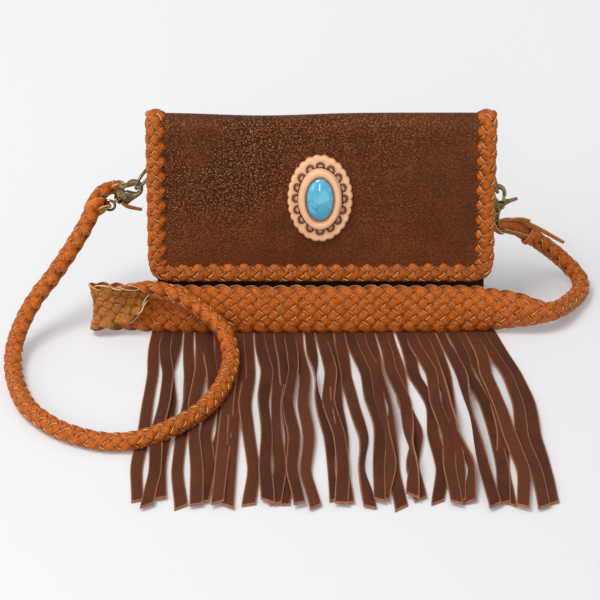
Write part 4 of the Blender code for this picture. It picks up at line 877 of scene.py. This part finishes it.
def fringe_strand(index, count):
    """One strand: it hangs from the hem, bends forward and lies on the table, where it strays and may turn over."""
    hem_y = -BASE_DEPTH / 2 + FRONT_SLOPE * 0.005 - 0.0011
    chance = random.Random(100 + index)
    share = (index + 0.5) / count
    root = 0.262 * (share - 0.5)
    tip = -0.1365 + 0.303 * share + chance.uniform(-0.004, 0.004)
    reach = 0.297 - random.Random(index).random() * 0.013
    a = np.linspace(0, 1, 130)
    drift = wander(chance, a, 0.0046) * np.minimum(1, 3 * a)
    x = root + (tip - root) * (1 - (1 - a) ** 2) + drift
    hanging = 0.045
    drop = np.clip(a / hanging, 0, 1)
    y = np.where(a < hanging, hem_y - 0.0035 * drop**2, hem_y + (-reach - hem_y) * a)
    lift = chance.random()
    layer = 0.0014 * (0, 2, 1)[index % 3]
    rise = layer + 0.0005 * lift * (1 + np.sin(9 * a + 6 * lift)) + 0.0004 * np.abs(np.sin(21 * a + index))
    z = 0.0008 + 0.0125 * (1 - drop) ** 2.2 + smooth((a - 0.1) * 6) * rise
    line = np.stack([x, y, z], axis=-1)
    along = unit(np.gradient(line, axis=0))
    flat = smooth((a - 0.03) / 0.05)[:, None]
    side = unit(np.stack([-along[:, 1], along[:, 0], 0 * x], axis=-1) + np.array([1e-9, 0, 0]))
    side = unit(side * flat + np.array([1.0, 0, 0]) * (1 - flat))
    normal = unit(np.cross(side, along))
    normal = normal * np.where(normal[:, 2:] < -0.01, -1, 1)
    most = chance.choice((0.15, 0.25, 0.35, 0.5, 1.2, 1.45))
    place, spread = chance.uniform(0.25, 0.8), chance.uniform(0.10, 0.22)
    roll = chance.choice((-1, 1)) * most * np.exp(-(((a - place) / spread) ** 2)) * smooth((a - 0.1) / 0.2)
    sine, cosine = np.sin(roll)[:, None], np.cos(roll)[:, None]
    swell = 0.88 + 0.14 * smooth(a * 4) + 0.06 * np.sin(11 * a + index) + chance.uniform(-0.06, 0.06)
    half = sizes().strand_width / 2 * swell
    cut = chance.uniform(-0.8, 0.8) * smooth((a - 0.9) * 10)
    line = line + np.array([0, 0, 1.0]) * (np.abs(np.sin(roll)) * half)[:, None]
    turned = side * cosine + normal * sine, normal * cosine - side * sine
    grid, to_side = sweep(line, *turned, half, FRINGE_THICKNESS)
    grid = grid + along[:, None] * (to_side * cut[:, None])[..., None]
    grid[..., 2] = np.maximum(grid[..., 2], 0.0002)
    near_edge = np.where(np.abs(ACROSS) > 0.87, 0.55, 0.0)
    rim = np.tile(np.where(CUT_EDGES > 0, 1.0, near_edge), (len(a), 1))
    rim[-1] = 1.0
    return {"points": grid, "uv": ((a * reach)[:, None], to_side), "rim": rim, "tone": chance.random(), "flip": True}


def make_fringe():
    """Cut suede strands that hang from the front's foot and lie forward on the table."""
    count = sizes().fringe_strands
    fringe = loft_piece("suede_fringe", [fringe_strand(index, count) for index in range(count)], "brown suede", 60)
    finish_piece(fringe, "bag", "suede", "fringe")


# Concho


def flap_face(x, t, out):
    """A point on the flap's front: across it, up it from the concho's middle, and out from the leather."""
    s = FOLD_LENGTH + (HINGE_Z + FOLD_MIDDLE * math.sin(FOLD_ANGLE) - CONCHO_Z) / math.cos(FLAP_LEAN) - t
    y, z = leather_line(s - 0.0005)
    reach = LEATHER / 2 + 0.0003 + out
    return np.stack([x - 0.0008, y - reach * math.cos(FLAP_LEAN), z + reach * math.sin(FLAP_LEAN)], axis=-1)


def oval(half, turns):
    return np.stack([half[0] * np.cos(turns), half[1] * np.sin(turns)], axis=-1)


def oval_turns(half, count):
    """Angles at even steps round an oval, and its girth."""
    fine = np.linspace(0, 2 * math.pi, 2001)
    walked = walk(oval(half, fine))
    return np.interp(np.arange(count) / count * walked[-1], walked, fine), walked[-1]


def make_concho_base():
    """The scalloped oval, tooled with a line round the ring and a row of dyed half-moon stamps."""
    count, stamps, edge_at = 448, 16, 0.0077
    turns, girth = oval_turns((0.0209, 0.0301), count)
    share = np.arange(count) / count
    pitch = girth / stamps
    q = np.concatenate([[-0.0080, -0.0040], np.linspace(-0.0012, 0.0062, 34), [0.0068, 0.0073, edge_at]])
    inner, outer = oval(RING_HALF, turns), oval(CONCHO_HALF, turns)
    scallop = 0.0013 * (np.abs(np.sin(math.pi * 28 * share + 0.3)) ** 0.7 - 1)
    width = np.linalg.norm(outer - inner, axis=1)
    outward = (outer - inner) / width[:, None]
    reach = q[:, None] / edge_at * np.where(q[:, None] > 0, width + scallop, 0.0085)
    flat = inner + outward * reach[..., None]
    chance = random.Random(5)
    lean = np.array([chance.uniform(-0.10, 0.10) for _ in range(stamps)])
    cell = share * stamps + 0.5
    number = np.floor(cell).astype(int) % stamps
    p = (cell % 1 - 0.5 + lean[number] * 0.5) * pitch
    radial = np.hypot(p / 0.0045, np.maximum(reach - 0.0011, 0) / 0.0046)
    stamp = smooth((1.04 - radial) / 0.10) * (reach > 0.0010)
    spokes = 0.5 + 0.5 * np.cos(np.arctan2(reach - 0.0011, p) * 15)
    arc = smooth((radial - 0.36) / 0.2)
    lined = 0.5 + 0.5 * np.cos(radial * 15.0)
    dye_and_shade = stamp * np.clip(arc * (0.50 + 0.75 * spokes * (0.5 + 0.5 * lined)) + (1 - arc) * 0.42 * spokes, 0, 1)
    halo = 0.45 * smooth((1.5 - radial) / 0.45) * (reach > 0.0003)
    line = np.exp(-(((reach - 0.0009) / 0.00050) ** 2)) * (0.72 + 0.28 * np.sin(share * 2 * math.pi * 5 + 1))
    edge = smooth((edge_at - q) / 0.0012)[:, None]
    height = 0.0030 - 0.00095 * (1 - edge) - 0.0007 * stamp * (0.6 + 0.4 * lined) - 0.0005 * line
    faces = [flap_face(flat[..., 0], flat[..., 1], out) for out in (height, 0.0)]
    rim = np.broadcast_to(smooth((q - 0.0070) / 0.0006)[:, None], dye_and_shade.shape)
    part = {"points": np.concatenate([faces[0], faces[1][::-1]]).transpose(1, 0, 2), "closed": True, "flip": True}
    for key, value in (("dye_and_shade", np.clip(dye_and_shade + line, 0, 1)), ("rim", rim), ("tone", halo)):
        part[key] = np.concatenate([value, 0 * value]).T
    return loft_piece("concho_leather", [part], "tooled leather", 70)


def make_concho_ring():
    """The raised oval ring, burnished on its inner side and dark next to the stone."""
    turns, _ = oval_turns(RING_HALF, 160)
    around = np.linspace(0, math.pi, 15)
    inward = 0.5 - 0.5 * np.cos(around)
    rise = 0.0033 + 0.0034 * np.sin(around) ** 0.42 * (1 - 0.12 * inward)
    inside = np.array([*inward, 1.0, 0.0])
    x = (RING_HALF[0] - RING_BAND[0] * inside) * np.cos(turns)[:, None]
    t = (RING_HALF[1] - RING_BAND[1] * inside) * np.sin(turns)[:, None]
    grid = flap_face(x, t, np.broadcast_to(np.array([*rise, 0.0028, 0.0028]), x.shape))
    burnt = smooth((inside - 0.66) / 0.2) * 0.9 + 0.25 * smooth((0.1 - inside) / 0.1)
    dark = smooth((inside - 0.97) / 0.03) * 0.6
    part = {"points": grid, "dye_and_shade": dark, "tone": burnt, "closed": True, "flip": True}
    return loft_piece("concho_raised_ring", [part], "tooled leather", 70)


def make_stone():
    """A dome: a ball cut in two, stretched to the ring's oval and set on the concho."""
    half = [RING_HALF[k] - RING_BAND[k] + 0.0001 for k in (0, 1)]
    bpy.ops.object.select_all(action="DESELECT")
    bpy.ops.mesh.primitive_uv_sphere_add(segments=96, ring_count=48, radius=1)
    stone = bpy.context.object
    stone.name = stone.data.name = "turquoise_cabochon"
    bpy.ops.object.mode_set(mode="EDIT")
    bpy.ops.mesh.select_all(action="SELECT")
    bpy.ops.mesh.bisect(plane_co=(0, 0, 0), plane_no=(0, 0, 1), use_fill=True, clear_inner=True)
    bpy.ops.mesh.select_all(action="SELECT")
    bpy.ops.transform.resize(value=(*half, 0.0062), center_override=(0, 0, 0))
    bpy.ops.object.mode_set(mode="OBJECT")
    bpy.ops.object.shade_smooth_by_angle(angle=math.radians(40))
    points = points_of(stone.data)
    set_points(stone.data, flap_face(points[:, 0], points[:, 1], 0.0033 + points[:, 2]))
    stone.data.update()
    stone.data.materials.append(look_of("turquoise"))
    return stone


# Fittings


def points_of(mesh):
    return np.array([vertex.co for vertex in mesh.vertices])


def mark_wear(mesh):
    """Marks the inner corners to be dark and the outer edges to be bright."""
    points = points_of(mesh)
    normals = np.array([vertex.normal for vertex in mesh.vertices])
    pairs = np.array([edge.vertices for edge in mesh.edges])
    ahead = unit(points[pairs[:, 1]] - points[pairs[:, 0]] + 1e-12)
    total, count = np.zeros(len(points)), np.full(len(points), 1e-6)
    for end, way in ((0, 1), (1, -1)):
        np.add.at(total, pairs[:, end], way * np.sum(ahead * normals[pairs[:, end]], axis=1))
        np.add.at(count, pairs[:, end], 1)
    bend = total / count
    set_attribute(mesh, "dye_and_shade", smooth(bend / 0.3))
    set_attribute(mesh, "rim", smooth((-bend - 0.12) / 0.3))


def edit_whole(piece):
    """Selects one piece and nothing else, and opens it in edit mode with all of it selected."""
    bpy.ops.object.select_all(action="DESELECT")
    piece.select_set(True)
    bpy.context.view_layer.objects.active = piece
    bpy.ops.object.mode_set(mode="EDIT")
    bpy.ops.mesh.select_all(action="SELECT")


def ease(piece, width, segments, angle):
    """Rounds off the active piece's edges that are sharper than the angle."""
    bevel = piece.modifiers.new("ease", "BEVEL")
    bevel.width = width
    bevel.segments = segments
    bevel.limit_method = "ANGLE"
    bevel.angle_limit = math.radians(angle)
    bpy.ops.object.modifier_apply(modifier="ease")


def dressed(node, name, width, look, body, slot):
    """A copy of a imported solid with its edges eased, which takes the solid's place."""
    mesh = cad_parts[node].data.copy()
    mesh.name = name
    mesh.materials.clear()
    piece = new_piece(name, mesh, look)
    edit_whole(piece)
    bpy.ops.mesh.remove_doubles(threshold=0.000002)
    bpy.ops.mesh.dissolve_limited(angle_limit=math.radians(2))
    bpy.ops.object.mode_set(mode="OBJECT")
    bpy.ops.mesh.customdata_custom_splitnormals_clear()
    ease(piece, width, 2, 35)
    bpy.ops.object.shade_smooth_by_angle(angle=math.radians(40))
    if look == "antique brass":
        mark_wear(mesh)
    finish_piece(piece, body, slot, node)


def dressed_brass(node, name, width, body):
    dressed(node, name, width, "antique brass", body, "antique_brass")


def make_d_ring(side):
    """A ring of round wire, straight in its tab and bowed at the clasp."""
    sign = CLASPS[side][2]
    hang = math.radians(RINGS[side])
    reach = np.array([sign * math.cos(hang), 0, -math.sin(hang)])
    bar = np.array([0, 1.0, 0])
    bow, corner, span, wire = 0.0097, 0.0025, 0.020, 0.0013
    arcs = (
        (corner, corner - bow, corner, 180, 270, 8),
        (span - bow, 0, bow, -90, 90, 40),
        (corner, bow - corner, corner, 90, 180, 8),
    )
    flat = [
        (x + radius * math.cos(a), y + radius * math.sin(a))
        for x, y, radius, low, high, count in arcs
        for a in np.radians(np.linspace(low, high, count))
    ]
    place = np.array((sign * RING_BAR[0], RING_BAR[1], RING_BAR[2]))
    line = np.array([place + reach * x + bar * y for x, y in flat])
    ahead = unit(np.roll(line, -1, axis=0) - np.roll(line, 1, axis=0))
    normal = np.cross(reach, bar)
    around = (np.arange(14) / 14 * 2 * math.pi)[:, None]
    grid = line[:, None] + wire * (np.cross(ahead, normal)[:, None] * np.cos(around) + normal * np.sin(around))
    part = {"points": grid, "closed": True, "flip": True}
    ring = loft_piece("brass_ring_" + side, [part], "antique brass", 60)
    finish_piece(ring, "ring_" + side, "antique_brass", "d_ring_" + side)


def clasp_frame(side):
    """Where a clasp lies: its length, its height towards the lever, and out of its plate towards the front."""
    start, lean, sign = CLASPS[side]
    lean = math.radians(lean)
    along = np.array([math.cos(lean), 0, math.sin(lean)])
    high = np.array([-math.sin(lean), 0, math.cos(lean)]) * -sign
    return np.array(start), along, high, np.array([0, -1.0, 0])


def make_cheek(side):
    """The thick plate of a clasp's body, drawn in millimetres, extruded through the body and eased."""
    start, along, high, front = clasp_frame(side)
    middle, depth = 17.5, 0.0046
    outline = [(3.6, -2.4), (4.2, -4.6), (5.8, -6.1), (8.5, -6.9), (13, -6.9)]
    for radius, low, turn_end in ((6.7, -90, -50), (4.4, -50, -115)):
        for a in np.radians(np.linspace(low, turn_end, 6)):
            outline.append((middle + radius * math.cos(a), radius * math.sin(a)))
    outline += [(14.4, -2.4), (13.0, -0.4), (11.4, 1.4), (9.0, 2.6), (5.6, 2.9), (4.0, 2.3)]
    mesh = bpy.data.meshes.new("brass_cheek_" + side)
    mesh.from_pydata([(u / 1000, v / 1000, -depth / 2) for u, v in outline], [], [list(range(len(outline)))])
    piece = new_piece("brass_cheek_" + side, mesh, "antique brass")
    edit_whole(piece)
    bpy.ops.mesh.extrude_region_move(TRANSFORM_OT_translate={"value": (0, 0, depth)})
    bpy.ops.mesh.select_all(action="SELECT")
    bpy.ops.mesh.normals_make_consistent(inside=False)
    bpy.ops.object.mode_set(mode="OBJECT")
    ease(piece, 0.0008, 3, 40)
    points = points_of(mesh)
    set_points(mesh, start + points[:, :1] * along + points[:, 1:2] * high + points[:, 2:] * front)
    if float(np.dot(np.cross(along, high), front)) < 0:
        mesh.flip_normals()
    mesh.update()
    bpy.ops.object.shade_smooth_by_angle(angle=math.radians(35))
    mark_wear(mesh)
    finish_piece(piece, "clasp_" + side, "antique_brass")


def make_rivet(side):
    """The rivet through a clasp's cheek, with a turned head on both faces."""
    start, along, high, front = clasp_frame(side)
    centre = start + along * 0.0072 - high * 0.0019
    turns = (np.arange(32) / 32 * 2 * math.pi)[:, None]
    outward = along * np.cos(turns) + high * np.sin(turns)
    height, radius, dark = np.array([(w / 1000, r / 1000, dark) for w, r, dark in RIVET_HEAD]).T[:, :, None]
    parts = []
    for axis in (front, -front):
        grid = centre + axis * height[..., None] + outward * radius[..., None]
        parts.append({"points": grid, "dye_and_shade": dark, "flip": float(np.dot(np.cross(along, high), axis)) < 0})
    finish_piece(loft_piece("brass_rivet_" + side, parts, "antique brass"), "clasp_" + side, "antique_brass")


# Stage


def put(name, data, place, ahead):
    """A camera or a lamp at a place, turned to look ahead."""
    made = bpy.data.objects.new(name, data)
    made.location = place
    made.rotation_euler = ahead.to_track_quat("-Z", "Y").to_euler()
    bpy.context.scene.collection.objects.link(made)
    return made


def make_floor():
    """The pale floor, which the camera sees a little lighter towards the back."""
    bpy.ops.object.select_all(action="DESELECT")
    bpy.ops.mesh.primitive_plane_add(size=16, location=(0, 0, 0))
    floor = bpy.context.object
    floor.name = "floor"
    look = Look("pale floor", (0.74, 0.74, 0.74))
    path = look.add("LightPath", {}).outputs
    seen = look.math("MAXIMUM", path["Is Camera Ray"], path["Is Glossy Ray"])
    depth = look.add("SeparateXYZ", {"Vector": look.where}).outputs["Y"]
    floor.data.materials.append(look.finish({
        "Roughness": 0.9,
        "Specular IOR Level": 0.0,
        "Emission Color": (1, 1, 1),
        "Emission Strength": look.times(seen, look.curve(depth, -0.5, 0.9, 0.09, 0.27)),
    }))


# Operators


class FRINGED_BAG_OT_stage(bpy.types.Operator):
    """Make the floor, the camera and the lamps"""

    bl_idname = "fringed_bag.stage"
    bl_label = "Stage"

    def execute(self, context):
        scene = context.scene
        scene.view_settings.view_transform = "Standard"
        data = bpy.data.cameras.new("camera")
        data.sensor_fit = "HORIZONTAL"
        data.sensor_width = 36
        data.lens = CAMERA_LENS
        data.clip_end = 100
        away = Vector((0, -math.cos(CAMERA_RISE), math.sin(CAMERA_RISE)))
        scene.camera = put("camera", data, CAMERA_TARGET + away * CAMERA_DISTANCE, -away)
        make_floor()
        scene.world = bpy.data.worlds.new("studio")
        scene.world.use_nodes = True
        sky = scene.world.node_tree.nodes["Background"].inputs
        sky["Color"].default_value = (0.95, 0.97, 1.0, 1)
        sky["Strength"].default_value = 0.49
        for name, place, (width, height), power in LAMPS:
            lamp = bpy.data.lights.new(name, "AREA")
            lamp.shape = "RECTANGLE"
            lamp.size, lamp.size_y = width, height
            lamp.energy = power
            put(name, lamp, place, LAMP_TARGET - Vector(place))
        return {"FINISHED"}


class FRINGED_BAG_OT_strap(bpy.types.Operator):
    """Plait the strap and its loose ends"""

    bl_idname = "fringed_bag.strap"
    bl_label = "Strap"

    def execute(self, context):
        make_strap()
        return {"FINISHED"}


class FRINGED_BAG_OT_lacing(bpy.types.Operator):
    """Plait the laced edge"""

    bl_idname = "fringed_bag.lacing"
    bl_label = "Edge lacing"

    def execute(self, context):
        make_laces()
        return {"FINISHED"}


class FRINGED_BAG_OT_flap(bpy.types.Operator):
    """Make the leather of the flap and the back"""

    bl_idname = "fringed_bag.flap"
    bl_label = "Flap and back"

    def execute(self, context):
        make_flap_leather()
        return {"FINISHED"}


class FRINGED_BAG_OT_body(bpy.types.Operator):
    """Make the gusset's and the front's leather"""

    bl_idname = "fringed_bag.body"
    bl_label = "Body"

    def execute(self, context):
        make_gusset()
        make_front()
        return {"FINISHED"}


class FRINGED_BAG_OT_fringe(bpy.types.Operator):
    """Cut the suede fringe"""

    bl_idname = "fringed_bag.fringe"
    bl_label = "Fringe"

    def execute(self, context):
        make_fringe()
        return {"FINISHED"}


class FRINGED_BAG_OT_concho(bpy.types.Operator):
    """Tool the concho's leather and set its ring and stone"""

    bl_idname = "fringed_bag.concho"
    bl_label = "Concho"

    def execute(self, context):
        base, ring, stone = make_concho_base(), make_concho_ring(), make_stone()
        finish_piece(base, "flap", "tooled_leather", "concho_base")
        finish_piece(ring, "flap", "tooled_leather", "concho_ring")
        finish_piece(stone, "flap", "turquoise", "turquoise_stone")
        return {"FINISHED"}


class FRINGED_BAG_OT_fittings(bpy.types.Operator):
    """Make the rings, the clasps, the tabs and the snap"""

    bl_idname = "fringed_bag.fittings"
    bl_label = "Fittings"

    def execute(self, context):
        for side in ("left", "right"):
            make_d_ring(side)
            dressed_brass("clasp_body_" + side, "brass_clasp_body_" + side, 0.00035, "clasp_" + side)
            dressed_brass("clasp_pin_" + side, "brass_pin_" + side, 0.00012, "clasp_" + side)
            dressed_brass("clasp_eye_" + side, "brass_eye_" + side, 0.00012, "bag")
            dressed_brass("clasp_lever_" + side, "brass_lever_" + side, 0.00025, "lever_" + side)
            make_cheek(side)
            make_rivet(side)
            tab = "ring_tab_" + side, "leather_tab_" + side
            dressed(*tab, 0.0004, "pebbled leather", "bag", "brown_leather")
            dressed_brass("tab_rivet_" + side, "brass_tab_rivet_" + side, 0.0003, "bag")
        dressed_brass("snap_socket", "brass_snap_socket", 0.0003, "bag")
        dressed_brass("snap_stud", "brass_snap_stud", 0.0003, "flap")
        dressed_brass("concho_screw", "brass_concho_screw", 0.0002, "flap")
        for name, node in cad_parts.items():
            if name.startswith("clasp_spring"):
                node.data.materials.clear()
                node.data.materials.append(look_of("antique brass"))
        return {"FINISHED"}


OPERATORS = (
    FRINGED_BAG_OT_stage,
    FRINGED_BAG_OT_strap,
    FRINGED_BAG_OT_lacing,
    FRINGED_BAG_OT_flap,
    FRINGED_BAG_OT_body,
    FRINGED_BAG_OT_fringe,
    FRINGED_BAG_OT_concho,
    FRINGED_BAG_OT_fittings,
)


class FRINGED_BAG_PT_panel(bpy.types.Panel):
    bl_idname = "FRINGED_BAG_PT_panel"
    bl_label = "Fringed Bag"
    bl_space_type = "VIEW_3D"
    bl_region_type = "UI"
    bl_category = "Fringed Bag"

    def draw(self, context):
        for group in (context.scene.bag_sizes, context.scene.bag_colours):
            for name in group.__annotations__:
                self.layout.prop(group, name)
        for operator in OPERATORS:
            self.layout.operator(operator.bl_idname)


CLASSES = (BagSizes, BagColours, *OPERATORS, FRINGED_BAG_PT_panel)


def register():
    for one in CLASSES:
        bpy.utils.register_class(one)
    bpy.types.Scene.bag_sizes = PointerProperty(type=BagSizes)
    bpy.types.Scene.bag_colours = PointerProperty(type=BagColours)


def unregister():
    del bpy.types.Scene.bag_sizes
    del bpy.types.Scene.bag_colours
    for one in reversed(CLASSES):
        bpy.utils.unregister_class(one)


def main():
    register()
    bpy.ops.fringed_bag.stage()
    bpy.ops.fringed_bag.strap()
    bpy.ops.fringed_bag.lacing()
    bpy.ops.fringed_bag.flap()
    bpy.ops.fringed_bag.body()
    bpy.ops.fringed_bag.fringe()
    bpy.ops.fringed_bag.concho()
    bpy.ops.fringed_bag.fittings()


if __name__ == "__main__":
    main()
